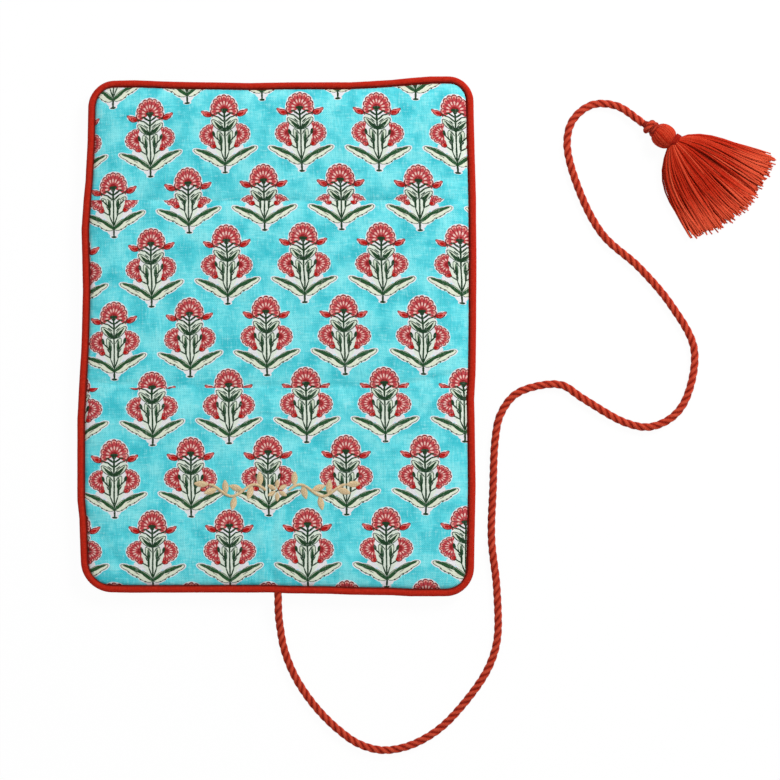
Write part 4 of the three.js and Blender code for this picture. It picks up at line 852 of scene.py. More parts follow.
class Parts:
    """Gathers the points, faces and pattern coordinates of one piece, in millimetres."""

    def __init__(self):
        self.points, self.faces, self.pattern, self.shades = [], [], [], []

    def tube(self, rings, shade=0.5):
        """A closed tube through rings of points. A shade may be a list: a value, or values, for each ring."""
        start, sides = len(self.points), len(rings[0])
        shades = shade if isinstance(shade, list) else [shade] * len(rings)
        shades = [value if isinstance(value, list) else [value] * sides for value in shades]
        centres = [sum((Vector(p) for p in ring), Vector()) / sides for ring in rings]
        widest = [Vector(point) for point in rings[len(rings) // 2]]
        around = sum((widest[k] - widest[k - 1]).length for k in range(sides))
        travelled = 0.0
        for place, ring in enumerate(rings):
            self.points += [tuple(p) for p in ring]
            self.shades += shades[place]
        for place in range(len(rings) - 1):
            step = (centres[place + 1] - centres[place]).length
            for side in range(sides):
                following = (side + 1) % sides
                first = start + place * sides
                self.faces.append((first + side, first + following,
                                   first + sides + following, first + sides + side))
                v0, v1 = around * side / sides, around * (side + 1) / sides
                self.pattern += [(travelled, v0), (travelled, v1),
                                 (travelled + step, v1), (travelled + step, v0)]
            travelled += step
        for ring_start, order in ((start, -1), (start + (len(rings) - 1) * sides, 1)):
            self.faces.append(tuple(ring_start + k for k in range(sides))[::order])
            self.pattern += [(0.0, 0.0)] * sides

    def layer(self, top, bottom, pattern):
        """A closed layer between two grids of points, with pattern coordinates from a function."""
        start, rows, columns = len(self.points), len(top), len(top[0])
        size = rows * columns
        self.points += [tuple(p) for row in top for p in row] + [tuple(p) for row in bottom for p in row]
        self.shades += [0.5] * (2 * size)
        for row in range(rows - 1):
            for column in range(columns - 1):
                a = start + row * columns + column
                quad = (a, a + 1, a + columns + 1, a + columns)
                self._face(quad, pattern)
                self._face(tuple(size + p for p in reversed(quad)), pattern)
        rim = list(range(columns - 1))
        rim += [row * columns + columns - 1 for row in range(rows - 1)]
        rim += [(rows - 1) * columns + column for column in range(columns - 1, 0, -1)]
        rim += [row * columns for row in range(rows - 1, 0, -1)]
        for place, here in enumerate(rim):
            following = rim[(place + 1) % len(rim)]
            self._face((start + size + here, start + size + following, start + following, start + here),
                       pattern)

    def _face(self, corners, pattern):
        """A face, and the pattern coordinates of its corners."""
        self.faces.append(corners)
        middle = sum(self.points[p][1] for p in corners) / len(corners)
        self.pattern += [pattern(*self.points[p][:2], middle) for p in corners]

    def make(self, name, material, sharp=60, outward=False):
        """The mesh object, smooth but for edges sharper than an angle."""
        mesh = bpy.data.meshes.new(name)
        mesh.from_pydata([tuple(v * MM for v in p) for p in self.points], [], self.faces)
        layer = mesh.uv_layers.new(name="cloth_mm")
        layer.data.foreach_set("uv", np.array(self.pattern, np.float32).ravel())
        shade = mesh.attributes.new("tone_and_painted_shading", "FLOAT", "POINT")
        shade.data.foreach_set("value", np.array(self.shades, np.float32))
        if outward:
            work = bmesh.new()
            work.from_mesh(mesh)
            bmesh.ops.recalc_face_normals(work, faces=work.faces)
            work.to_mesh(mesh)
            work.free()
        mesh.shade_smooth()
        mesh.set_sharp_from_angle(angle=math.radians(sharp))
        mesh.materials.append(material)
        piece = bpy.data.objects.new(name, mesh)
        bpy.context.scene.collection.objects.link(piece)
        return piece


def settle(piece, body, slot, *nodes):
    """Put a finished piece on its body and hide the solids that it stands for; the slot is not used."""
    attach(piece, body)
    if nodes:
        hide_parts(*nodes)
    return piece


def bend(piece, half, slot, *nodes):
    """Bake a finished piece's place into its mesh and hide the solids that it stands for."""
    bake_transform(piece)
    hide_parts(*nodes)
    return piece


def between(a, b, low, high, t):
    """The point at t on the line that passes a at low and b at high."""
    return a * ((high - t) / (high - low)) + b * ((t - low) / (high - low))


def curve_through(route, step):
    """Points step apart on a smooth curve through the route."""
    points = [Vector(p) for p in route]
    ends = [2 * points[0] - points[1]] + points + [2 * points[-1] - points[-2]]
    line = []
    for place in range(1, len(ends) - 2):
        p0, p1, p2, p3 = ends[place - 1:place + 3]
        t0 = 0.0
        t1 = t0 + math.sqrt((p1 - p0).length)
        t2 = t1 + math.sqrt((p2 - p1).length)
        t3 = t2 + math.sqrt((p3 - p2).length)
        count = max(2, round((p2 - p1).length / step))
        for k in range(count):
            t = t1 + (t2 - t1) * k / count
            middle = between(p1, p2, t1, t2, t)
            before = between(between(p0, p1, t0, t1, t), middle, t0, t2, t)
            after = between(middle, between(p2, p3, t2, t3, t), t1, t3, t)
            line.append(between(before, after, t1, t2, t))
    line.append(points[-1])
    return line


def rings_along(line, radius, sides, flat=1.0):
    """Rings of points round a line, carried along it without twist. A radius may be a list."""
    radii = radius if isinstance(radius, list) else [radius] * len(line)
    tangents = [(line[min(k + 1, len(line) - 1)] - line[max(k - 1, 0)]).normalized()
                for k in range(len(line))]
    across = tangents[0].cross(Vector((0, 0, 1)))
    if across.length < 0.1:
        across = tangents[0].cross(Vector((1, 0, 0)))
    rings = []
    for centre, tangent, size in zip(line, tangents, radii):
        across = (across - tangent * across.dot(tangent)).normalized()
        up = across.cross(tangent)
        rings.append([centre + across * (size * math.cos(turn)) + up * (size * flat * math.sin(turn))
                      for turn in (2 * math.pi * k / sides for k in range(sides))])
    return rings


def twisted_rope(parts, line, radius, pitch, start=0.0, sides=24, light=0.78):
    """Three soft strands laid together: lobes that wind right-handed round a line, with painted shade between
    them and painted highlight on their crests.
    """
    rings, shades, travelled = [], [], 0.0
    for place, centre in enumerate(line):
        tangent = (line[min(place + 1, len(line) - 1)] - line[max(place - 1, 0)]).normalized()
        across = Vector((0, 0, 1)).cross(tangent)
        across = across.normalized() if across.length > 0.05 else Vector((1, 0, 0))
        up = tangent.cross(across)
        if place:
            travelled += (centre - line[place - 1]).length
        ring, tones_and_shading = [], []
        for side in range(sides):
            turn = 2 * math.pi * side / sides
            lobe = abs(math.cos(1.5 * (turn - 2 * math.pi * travelled / pitch - start)))
            reach = radius * (0.72 + 0.28 * lobe ** 0.62)
            reach += 0.05 * wobble(travelled / 1.7, turn * 1.3, 2.9)
            ring.append(centre + across * (reach * math.cos(turn)) + up * (reach * math.sin(turn)))
            # Painted highlight on each lobe's crest and painted shade in the hollows between, with random
            # tone on top.
            tones_and_shading.append(light * min(lobe / 0.92, 1) ** 1.25 + 0.2 * wobble(travelled / 1.9, turn, 7.7))
        rings.append(ring)
        shades.append([min(max(tone, 0.0), 1.0) for tone in tones_and_shading])
    parts.tube(rings, shades)


def away_from(start, turn, distance):
    """The point at a distance from start in the direction of turn."""
    return Vector((start[0] + distance * math.cos(turn), start[1] + distance * math.sin(turn), start[2]))


def tassel_axes():
    """The tassel's own directions: along it, and level across it."""
    along = Vector((math.cos(KNOT_TURN), math.sin(KNOT_TURN), 0))
    return along, Vector((-along.y, along.x, 0))


def outward_at(across, turn):
    """The direction out from the tassel's axis at a turn about it."""
    return across * math.cos(turn) + Vector((0, 0, 1)) * math.sin(turn)


def make_knot(colours):
    """The knot that ties the cord to the tassel: two wraps of the same cord, one crossing the other."""
    parts = Parts()
    end = Vector(CORD_ROUTE[-1])
    along, across = tassel_axes()
    middle = Vector((end.x, end.y, KNOT_HEIGHT)) + along * KNOT_AWAY
    for wrap, lean in ((-1.75, 0.6), (1.25, -0.5)):
        line = []
        for k in range(37):
            turn = 2 * math.pi * k / 36
            place = middle + along * (wrap + 1.1 * lean * math.cos(turn + 0.8))
            line.append(place + outward_at(across, turn) * 2.5)
        twisted_rope(parts, line, 1.75, 9.5, wrap, 16, 0.7)
    # The core under the wraps is painted in shade, dark where it shows between them.
    core = [middle + along * (k * 1.1 - 6.2) for k in range(10)]
    parts.tube(rings_along(core, [1.5, 1.75, 2.1, 2.5, 2.7, 2.8, 2.8, 2.8, 2.7, 2.4], 12), 0.15)
    return settle(parts.make("cord_knot_wraps", finish("cord", colours), outward=True),
                  "front_section", "twisted_cord", "cord_knot")


def make_head(colours):
    """The wound ball at the top of the tassel: yarns over a core, drawn in at both ends."""
    parts = Parts()
    end = CORD_ROUTE[-1]
    start = (end[0] + HEAD_SHIFT[0], end[1] + HEAD_SHIFT[1], TASSEL_HEIGHT)
    middle = away_from(start, KNOT_TURN, HEAD_AWAY)
    along, across = tassel_axes()
    draw = random.Random(41)
    for yarn in range(HEAD_YARNS):
        line, tones_and_shading = [], []
        slant = 0.7 + draw.uniform(-0.1, 0.1)
        tone = 0.5 + draw.uniform(-0.28, 0.3)
        for k in range(9):
            share = k / 8
            angle = math.pi * (0.11 + 0.76 * share)
            turn = 2 * math.pi * (yarn + draw.uniform(-0.2, 0.2)) / HEAD_YARNS + slant * (share - 0.5)
            radius = 6.1 * math.sin(angle) ** 0.6
            line.append(middle - along * (5.7 * math.cos(angle) + 0.1) + outward_at(across, turn) * radius)
            # Each yarn's random tone, with painted shade where it is drawn in at both ends.
            tones_and_shading.append(tone * smooth((0.56 - abs(share - 0.5)) / 0.16))
        parts.tube(rings_along(line, 0.4, 6), tones_and_shading)
    # The core under the yarns is painted in deep shade, dark where it shows between them.
    core = [middle + along * (k * 1.04 - 5.3) for k in range(11)]
    radii = [max(5.9 * math.sqrt(max(1 - (abs(k - 5) / 5.7) ** 2, 0.05)), 1) for k in range(11)]
    parts.tube(rings_along(core, radii, 18), 0.05)
    return settle(parts.make("tassel_wound_head", finish("tassel", colours), outward=True),
                  "front_section", "tassel_yarn", "tassel_head")


def make_binding(colours):
    """Thread wound round the neck of the tassel."""
    parts = Parts()
    end = CORD_ROUTE[-1]
    start = away_from((end[0], end[1], TASSEL_HEIGHT), KNOT_TURN, NECK_AWAY)
    along, across = tassel_axes()
    line = []
    for k in range(97):
        turn = 2 * math.pi * k / 24
        place = start + along * (0.5 * k / 24 + 0.35 * math.cos(turn))
        line.append(place + outward_at(across, turn) * NECK_RADIUS)
    # Thread and core are painted in deep shade: the narrow neck is drawn dark.
    parts.tube(rings_along(line, 0.48, 7), 0.03)
    core = [start + along * (k * 0.7 - 0.8) for k in range(6)]
    parts.tube(rings_along(core, [3.4, 3.5, 3.6, 3.6, 3.5, 3.2], 16), 0.03)
    return settle(parts.make("tassel_neck_binding", finish("tassel", colours), outward=True),
                  "front_section", "tassel_yarn", "tassel_neck")


def make_fringe(sizes, colours):
    """The fringe: soft yarns that spring out of the neck in a bell and fan over the table."""
    parts = Parts()
    draw = random.Random(7)
    low_start, high_start = (Vector((*place, TASSEL_HEIGHT)) for place in FRINGE_STARTS)
    middle = (low_start + high_start) / 2
    # A fifth as many again, thicker, lie on the table as a bed for the others.
    bed = sizes.strands // 5
    for yarn in range(sizes.strands + bed):
        below = yarn >= sizes.strands
        fan = 2 * (yarn % sizes.strands + 0.5) / (bed if below else sizes.strands) - 1
        fan = fan * 0.985 if below else max(min(fan + draw.uniform(-0.03, 0.03), 1), -1)
        # Where it starts on the neck, how it leaves it, and where and how it comes down.
        level = 0.04 if below else draw.random() ** 0.62
        leave = math.radians(FRINGE_LEAVE[0] + FRINGE_LEAVE[1] * fan)
        arrive = math.radians(FRINGE_ARRIVE[0] + FRINGE_ARRIVE[1] * fan)
        leave += 0 if below else draw.uniform(-0.05, 0.05)
        arrive += 0 if below else draw.uniform(-0.09, 0.09)
        reach = sizes.fringe / MM + draw.uniform(-3.2, 1.2) + 1.4 * wobble(fan * 3.1, 5.5)
        reach -= 2.2 * (1 - fan * fan) + 1.7 * max(-fan, 0) ** 2 + (1.5 if below else 0)
        tip = away_from(middle, SKIRT_TURN + SKIRT_SPREAD * fan, reach)
        first = 15 + 7 * max(-fan, 0) ** 2
        start = low_start.lerp(high_start, (fan + 1) / 2)
        handles = [start, away_from(start, leave, first), away_from(tip, arrive, -20), tip]
        thin = math.sqrt(max(1 - fan * fan * 0.9, 0.1))
        wave = draw.uniform(0, 6.28)
        lighter = draw.random()
        # Painted shade: yarns low in the bell, and the bed under them, are darker. Painted light makes the
        # fan's edges lighter, and a few yarns are lighter at random.
        tone = 0.02 + 0.42 * level ** 2 + 0.12 * fan * fan + (0.36 if lighter > 0.86 else 0.0)
        tone += draw.uniform(-0.08, 0.08) + (0.16 if below else 0.04)
        line, shades = [], []
        for k in range(FRINGE_RINGS):
            share = k / (FRINGE_RINGS - 1)
            rest = 1 - share
            point = (handles[0] * rest ** 3 + handles[1] * (3 * rest ** 2 * share)
                     + handles[2] * (3 * rest * share ** 2) + handles[3] * share ** 3)
            low = FRINGE_LOW + 2.9 * (1 - smooth(share / 0.3))
            bell = 9.3 + 2.2 * smooth(share / 0.2) - 7.0 * smooth((share - 0.2) / 0.8)
            z = low + (bell - low) * level * (0.35 + 0.65 * thin)
            slack = (0.2 if below else 1.5) * share ** 1.2
            point.x += slack * math.sin(wave + 3.6 * share)
            point.y += slack * math.cos(1.7 * wave + 4.2 * share)
            point.z = max(z + 0.3 * share * math.sin(2.3 * wave + 8 * share), FRINGE_LOW)
            line.append(point)
            # Painted light: a little lighter where the yarn leaves the neck and much lighter towards its tip.
            ends = 0.1 * (1 - smooth(share / 0.3)) + 0.5 * smooth((share - 0.5) / 0.5) ** 1.4
            shades.append(min(max(tone + ends, 0), 1))
        first, main, last = (0.45, 0.56, 0.5) if below else (0.4, 0.43, 0.36)
        parts.tube(rings_along(line, [first] + [main] * (FRINGE_RINGS - 2) + [last], 6, 0.92), shades)
    return settle(parts.make("tassel_yarn_fringe", finish("tassel", colours), outward=True),
                  "front_section", "tassel_yarn", "tassel_skirt")


def make_cord(sizes, colours):
    """The tie cord: three soft strands laid together, from the bottom seam to the tassel's knot."""
    line = curve_through(CORD_ROUTE, 0.55)
    parts = Parts()
    twisted_rope(parts, line, sizes.cord / MM / 2, sizes.lay / MM)
    cord = settle(parts.make("twisted_tie_cord", finish("cord", colours), outward=True),
                  "front_section", "twisted_cord", "tie_cord")
    hung = [make_knot(colours), make_head(colours), make_binding(colours), make_fringe(sizes, colours)]
    return cord


def panel_stations(inset, step):
    """Grid lines across and up the panel, with lines on the folds and on the split."""
    half, end = HALF_WIDTH - inset, HALF_LENGTH - inset
    columns = np.linspace(-half, half, round(2 * half / step) + 1)
    rows = {}
    for name, marks in (("lower", (-end, FOLD_LOW, SPLIT)), ("upper", (SPLIT, FOLD_HIGH, end))):
        runs = [np.linspace(a, b, round((b - a) / step) + 1) for a, b in zip(marks, marks[1:])]
        rows[name] = np.concatenate([runs[0], runs[1][1:]])
    return columns, rows


def rounded_place(x, y, inset):
    """A place on the square grid, drawn in to the panel's rounded corner."""
    side, end = (1 if x > 0 else -1), (1 if y > 0 else -1)
    radius = CORNER_RADII[(side, end)] - inset
    across = (abs(x) - (HALF_WIDTH - inset - radius)) / radius
    along = (abs(y) - (HALF_LENGTH - inset - radius)) / radius
    if across <= 0 or along <= 0:
        return x, y
    return (side * (HALF_WIDTH - inset - radius + radius * across * math.sqrt(1 - along * along / 2)),
            end * (HALF_LENGTH - inset - radius + radius * along * math.sqrt(1 - across * across / 2)))


def panel_layer(inset, step, half, top_of, bottom_of, pattern):
    """A layer of the panel between two heights, each a function of the place."""
    columns, rows = panel_stations(inset, step)
    parts, top, bottom = Parts(), [], []
    for y in rows[half]:
        places = [rounded_place(float(x), float(y), inset) for x in columns]
        moved = [drifted(*place) for place in places]
        upper = [top_of(*place) for place in places]
        top.append([(*there, height) for there, height in zip(moved, upper)])
        bottom.append([(*there, bottom_of(*place, height))
                       for there, place, height in zip(moved, places, upper)])
    parts.layer(top, bottom, pattern)
    return parts


def print_pattern(x, y, middle):
    """Pattern coordinates of the print at a place on the panel."""
    terms = [1, x / 100, (x / 100) ** 2]
    up = (y - GRAIN_MIDDLE) / 100
    terms = [power * term for power in (1, up, up * up) for term in terms]
    across = sum(term * share for term, share in zip(terms, GRAIN_ACROSS))
    shift = sum(term * share for term, share in zip(terms, GRAIN_UP))
    hidden = sum(depth for line, depth in TUCKS.items() if middle > line)
    return across, y + shift + hidden


def flat_pattern(x, y, middle):
    """Pattern coordinates of plain cloth: its place on the panel."""
    return x, y


def make_cover(sizes, colours):
    """The printed cover in two halves, which meet halfway up the middle section."""
    for half, outer in HALVES.items():
        parts = panel_layer(COVER_INSET, sizes.grid / MM, half, lambda x, y: cover_height(x, y, sizes),
                            lambda x, y, top: top - COVER_THICKNESS, print_pattern)
        cover = parts.make(f"printed_cover_{half}", finish("print", colours))
        bend(cover, half, "printed_cotton", f"{outer}_shell", "middle_shell")


def make_lining(sizes, colours):
    """The wadding and the plain lining under it, in the same two halves as the cover."""
    for half, outer in HALVES.items():
        parts = panel_layer(WADDING_INSET, WADDING_STEP, half,
                            lambda x, y: cover_height(x, y, sizes) - WADDING_BELOW_COVER,
                            lambda x, y, top: WADDING_LOW, flat_pattern)
        wadding = parts.make(f"quilt_wadding_{half}", finish("wadding", colours))
        bend(wadding, half, "wadding", f"{outer}_wadding", "middle_wadding")
        parts = panel_layer(LINING_INSET, LINING_STEP, half, lambda x, y: LINING_TOP, lining_height,
                            flat_pattern)
        lining = parts.make(f"plain_lining_{half}", finish("lining", colours))
        bend(lining, half, "lining_cotton", f"{outer}_lining", "middle_lining")


def lining_height(x, y, top):
    """Height of the lining's lower face, gathered along its seam."""
    edge = max(edge_distance(x, y, LINING_INSET), 0)
    near = math.exp(-edge / 5)
    gather = near * (0.5 + 0.5 * wobble(x / 3.1, y / 3.1, 12.5))
    return LINING_LOW + 0.03 + 0.3 * gather + 0.1 * (0.5 + 0.5 * wobble(x / 20, y / 20, 2.2))


def piping_line(inset, step):
    """The piping's line round the panel, cut where the two halves meet: for each half a list of points."""
    half, end = HALF_WIDTH - inset, HALF_LENGTH - inset
    lines = {}
    for name, up in (("lower", -1), ("upper", 1)):
        corners = []
        for side in (-1, 1):
            radius = CORNER_RADII[(side, up)] - inset
            middle = (side * (half - radius), up * (end - radius))
            turns = [k / 14 for k in range(15)]
            arc = [(middle[0] + side * radius * math.cos(math.pi / 2 * t),
                    middle[1] + up * radius * math.sin(math.pi / 2 * t)) for t in turns]
            corners.append(arc)
        left, right = corners
        places = [(-half, SPLIT)]
        for target in (left, right[::-1], [(half, SPLIT)]):
            x, y = places[-1]
            gap = math.hypot(target[0][0] - x, target[0][1] - y)
            count = max(1, round(gap / step))
            places += [(x + (target[0][0] - x) * k / count, y + (target[0][1] - y) * k / count)
                       for k in range(1, count)]
            places += target
        lines[name] = [Vector((*drifted(*place), PIPING_MIDDLE)) for place in places]
    return lines


def piping_rings(line, radius):
    """Rings round the piping: cloth pulled over a cord, slightly puckered, with its seam allowance inward."""
    rings, travelled = [], 0.0
    for place, centre in enumerate(line):
        ahead = line[min(place + 1, len(line) - 1)] - line[max(place - 1, 0)]
        outward = Vector((ahead.y, -ahead.x, 0)).normalized()
        if outward.dot(Vector((centre.x, centre.y, 0))) < 0:
            outward = -outward
        if place:
            travelled += (centre - line[place - 1]).length
        ring = []
        for k in range(PIPING_SIDES):
            turn = PIPING_PULL - 2 * PIPING_PULL * k / (PIPING_SIDES - 1)
            gather = 0.07 * wobble(travelled / 1.6 + turn * 0.9, turn * 0.5, 6.1)
            thick = 0.08 * wobble(travelled / 13, 2.2, 3.3) - 0.16 * smooth((centre.y - 126) / 8)
            size = radius + gather + thick
            ring.append(centre + outward * (size * math.cos(turn)) + Vector((0, 0, size * math.sin(turn))))
        inner = centre - outward * (radius + PIPING_ALLOWANCE)
        rings.append(ring + [inner + Vector((0, 0, -0.45)), inner + Vector((0, 0, -0.15))])
    return rings


def make_piping(sizes, colours):
    """The corded piping round the panel: bias cloth sewn over a soft filler cord."""
    radius = sizes.piping / MM / 2
    lines = piping_line(radius, 1.3)
    last = PIPING_SIDES - 1
    for half, outer in HALVES.items():
        parts = Parts()
        rings = piping_rings(lines[half], radius)
        # Painted shade: the cloth is darkened where the seam grips it, on both sides of the cord.
        shades = [0.5 * smooth((k % last + 0.7) / 3.6) if k in (0, 1, 2, 3, last) else 0.5
                  for k in range(len(rings[0]))]
        parts.tube(rings, [shades] * len(rings))
        cloth = parts.make(f"corded_piping_{half}", finish("piping", colours), outward=True)
        bend(cloth, half, "piping_cotton", f"{outer}_piping", "middle_piping_left", "middle_piping_right")
        parts = Parts()
        parts.tube(rings_along(lines[half][::2] + [lines[half][-1]], FILLER_RADIUS, 10))
        cord = parts.make(f"piping_filler_{half}", finish("filler", colours), outward=True)
        bend(cord, half, "filler_cord", f"{outer}_piping_cord", "middle_piping_cord_left",
             "middle_piping_cord_right")


def pocket_height(x, y, low, zip_line):
    """Height of a pocket's lower face: hemmed to the lining on three sides, slack between, sewn to a tape."""
    high = zip_line - GROOVE_HALF
    across, along = POCKET_HALF - abs(x), y - low
    edge = min(across, along)
    if max(across, along) < POCKET_CORNER:
        edge = POCKET_CORNER - math.hypot(POCKET_CORNER - across, POCKET_CORNER - along)
    gather = math.exp(-max(edge, 0) / 7) * wobble(x / 3.4, y / 3.4, 21.7)
    field = 0.3 + 0.55 * (0.5 + 0.5 * wobble(x / 26, y / 22, low))
    field += 0.25 * (0.5 + 0.5 * wobble(x / 8, y / 9, 3.3))
    height = POCKET_RIM + (field - POCKET_RIM) * smooth((edge - 2.4) / 5.2)
    height += 0.35 * gather * smooth(edge / 4) * (1 - smooth((edge - 8) / 6))
    # At the zip it rises to the tape.
    sewn = 1 - smooth((high - y) / 9)
    if height < POCKET_AT_TAPE:
        height += (POCKET_AT_TAPE - height) * sewn
    return max(height, POCKET_LEAST)


def stitches(parts, line, height_of, length, gap):
    """Short thread stitches laid end to end along a line, just below the face that they hold."""
    for (x0, y0), (x1, y1) in zip(line, line[1:]):
        count = max(1, round(math.hypot(x1 - x0, y1 - y0) / (length + gap)))
        for k in range(count):
            path = []
            for share, drop in ((0.1, 0.12), (0.36, -0.06), (0.64, -0.06), (0.9, 0.12)):
                x, y = x0 + (x1 - x0) * (k + share) / count, y0 + (y1 - y0) * (k + share) / count
                path.append(Vector((x, y, height_of(x, y) + drop)))
            parts.tube(rings_along(path, [0.1, 0.2, 0.2, 0.1], 5))


def slab(bottom, thickness):
    """A closed layer of plain cloth on a grid of points."""
    parts = Parts()
    parts.layer([[(x, y, z + thickness) for x, y, z in row] for row in bottom], bottom, flat_pattern)
    return parts


def pocket_grid(low, zip_line):
    """Points of a pocket's lower face, with rounded corners away from the zip."""
    high, inner = zip_line - GROOVE_HALF, POCKET_HALF - POCKET_CORNER
    grid = []
    for y in np.linspace(low, high, round((high - low) / 1.9) + 1):
        places = []
        for x in np.linspace(-POCKET_HALF, POCKET_HALF, 100):
            across = (abs(float(x)) - inner) / POCKET_CORNER
            along = (low + POCKET_CORNER - float(y)) / POCKET_CORNER
            place = (float(x), float(y))
            if across > 0 and along > 0:
                out = POCKET_CORNER * across * math.sqrt(1 - along ** 2 / 2)
                down = POCKET_CORNER * along * math.sqrt(1 - across ** 2 / 2)
                place = (math.copysign(inner + out, x), low + POCKET_CORNER - down)
            places.append(place)
        grid.append([(*place, pocket_height(*place, low, zip_line)) for place in places])
    return grid


def facing_layer(near):
    """The folded strip behind a zip, which steps up from the tape to the lining."""
    parts, top, bottom = Parts(), [], []
    for reach, height in FACING_PROFILE:
        row = [(float(x), near + reach, height + 0.05 * wobble(x / 6, reach / 5, near))
               for x in np.linspace(-POCKET_HALF, POCKET_HALF, 80)]
        back = 0.5 if 5.8 < reach < 9 else 0
        bottom.append(row)
        top.append([(x, y - back, z + POCKET_CLOTH) for x, y, z in row])
    parts.layer(top, bottom, flat_pattern)
    return parts


def tape_grid(zip_line, side):
    """Points of a zip tape's lower face, which turns up at both ends."""
    inner, outer = sorted(zip_line + side * reach for reach in TAPE_SPAN)
    return [[(float(x), float(y),
              TAPE_LOW + 0.01 + 1.5 * smooth((abs(x) - (TAPE_HALF - TAPE_TURN_UP)) / TAPE_TURN_UP))
             for x in np.linspace(-TAPE_HALF, TAPE_HALF, 96)] for y in np.linspace(inner, outer, 8)]


def pocket_seams(low, zip_line, length):
    """Top stitching: round the pocket, along its edge at the zip, and on the strip behind the zip."""
    seam = Parts()
    high, near, hem = zip_line - GROOVE_HALF, zip_line + GROOVE_HALF, POCKET_HALF - 1.3

    def under(x, y):
        """Height of the pocket's lower face."""
        return pocket_height(x, y, low, zip_line)

    hem_line = [(-hem, high - 2), (-hem, low + 5), (-hem + 3.7, low + 1.3), (hem - 3.7, low + 1.3),
                (hem, low + 5), (hem, high - 2)]
    for line, height_of in (
            (hem_line, under), ([(-90, high - 1.6), (90, high - 1.6)], under),
            ([(-94, near + 11.2), (94, near + 11.2)], lambda x, y: 5.68),
            ([(-93, near + 1.4), (93, near + 1.4)], lambda x, y: 2.93)):
        stitches(seam, line, height_of, length, STITCH_GAP)
    return seam


def make_pockets(sizes, colours):
    """Both zipped pockets: the slack cloth, the strip behind the zip, the tapes and their top stitching."""
    for name, (body, low, zip_line) in POCKETS.items():
        high, near = zip_line - GROOVE_HALF, zip_line + GROOVE_HALF
        cloth = finish("pocket", colours)
        panel = slab(pocket_grid(low, zip_line), POCKET_CLOTH).make(f"{name}_pocket_cloth", cloth)
        settle(panel, body, "lining_cotton", f"{name}_pocket_panel")
        settle(facing_layer(near).make(f"{name}_zip_facing_cloth", cloth), body, "lining_cotton",
               f"{name}_pocket_facing")
        for side, label in ((-1, "near"), (1, "far")):
            tape = slab(tape_grid(zip_line, side), TAPE_THICKNESS)
            settle(tape.make(f"{name}_woven_tape_{label}", finish("tape", colours)), body, "zip_tape",
                   f"{name}_zip_tape_{label}")
        seam = pocket_seams(low, zip_line, sizes.stitch / MM)
        settle(seam.make(f"{name}_top_stitching", finish("thread", colours), outward=True), body,
               "piping_cotton")


def strap_rings():
    """Rings along the ring strap: plump, but flat where it is sewn and where its stud sits."""
    rings = []
    for x in np.linspace(-STRAP_HALF, STRAP_HALF, 76):
        x = float(x)
        from_left, from_right = x + STRAP_HALF, STRAP_HALF - x
        sewn = 1 - smooth((from_left - 6) / 12)
        tab = 1 - smooth((from_right - 15) / 12)
        middle = 2.4 + (4.7 - 2.4) * sewn
        depth = 4.7 + (1.4 - 4.7) * max(sewn, tab)
        end = max((STRAP_ROUND - from_right) / STRAP_ROUND, 0)
        width = STRAP_WIDTH * math.sqrt(max(1 - end ** 2, 0.012))
        ring = []
        for k in range(24):
            turn = 2 * math.pi * k / 24
            reach = abs(math.cos(turn)) ** 0.8 * math.copysign(1, math.cos(turn))
            lift = abs(math.sin(turn)) ** 0.8 * math.copysign(1, math.sin(turn))
            gather = 1 + 0.035 * wobble(x / 2.6, turn * 1.2, 4.1) * (1 - max(sewn, tab))
            ring.append((x, STRAP_LINE + width / 2 * reach * gather, middle + depth / 2 * lift * gather))
        rings.append(ring)
    return rings


def patch_grid(height_of):
    """Points over the patch under the strap's sewn end."""
    across, along = PATCH_HALF
    return [[(x, y, height_of(x, y)) for x in np.linspace(-STRAP_HALF - across, -STRAP_HALF + across, 12)]
            for y in np.linspace(STRAP_LINE - along, STRAP_LINE + along, 14)]


def patch_low(x, y):
    """Height of the patch's lower face, which turns up at its edge."""
    edge = min(PATCH_HALF[0] - abs(x + STRAP_HALF), PATCH_HALF[1] - abs(y - STRAP_LINE))
    return PATCH_LOW + 0.25 * (1 - swell(edge / 1.5))


def make_ring_strap(sizes, colours):
    """The stuffed strap for rings, the patch that it is sewn to, and their stitching."""
    parts = Parts()
    parts.tube(strap_rings())
    strap = settle(parts.make("stuffed_ring_strap", finish("strap", colours), outward=True),
                   "ring_strap", "piping_cotton", "ring_strap")

    parts = Parts()
    parts.layer(patch_grid(lambda x, y: PATCH_HIGH), patch_grid(patch_low), flat_pattern)
    settle(parts.make("strap_anchor_patch", finish("strap", colours), sharp=70), "top_flap",
           "piping_cotton", "strap_anchor")
    seam = Parts()
    across, along = (half - 1 for half in PATCH_HALF)
    box = [(side * across - STRAP_HALF, STRAP_LINE + end * along)
           for side, end in ((-1, -1), (1, -1), (1, 1), (-1, 1), (-1, -1))]
    stitches(seam, box, lambda x, y: PATCH_LOW, 2.0, 0.5)
    settle(seam.make("anchor_patch_stitching", finish("gold", colours), outward=True), "top_flap",
           "piping_cotton")


def make_hardware(sizes, colours):
    """Moulded teeth and stops for the zips, and brass for their sliders and pulls and for the press stud."""
    kinds = {"teeth": ("zip_row", "zip_stop"), "brass": ("zip_slider", "zip_pull", "snap_")}
    for name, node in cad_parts.items():
        for kind, words in kinds.items():
            if any(word in name for word in words):
                for place in node.material_slots:
                    place.material = finish(kind, colours)


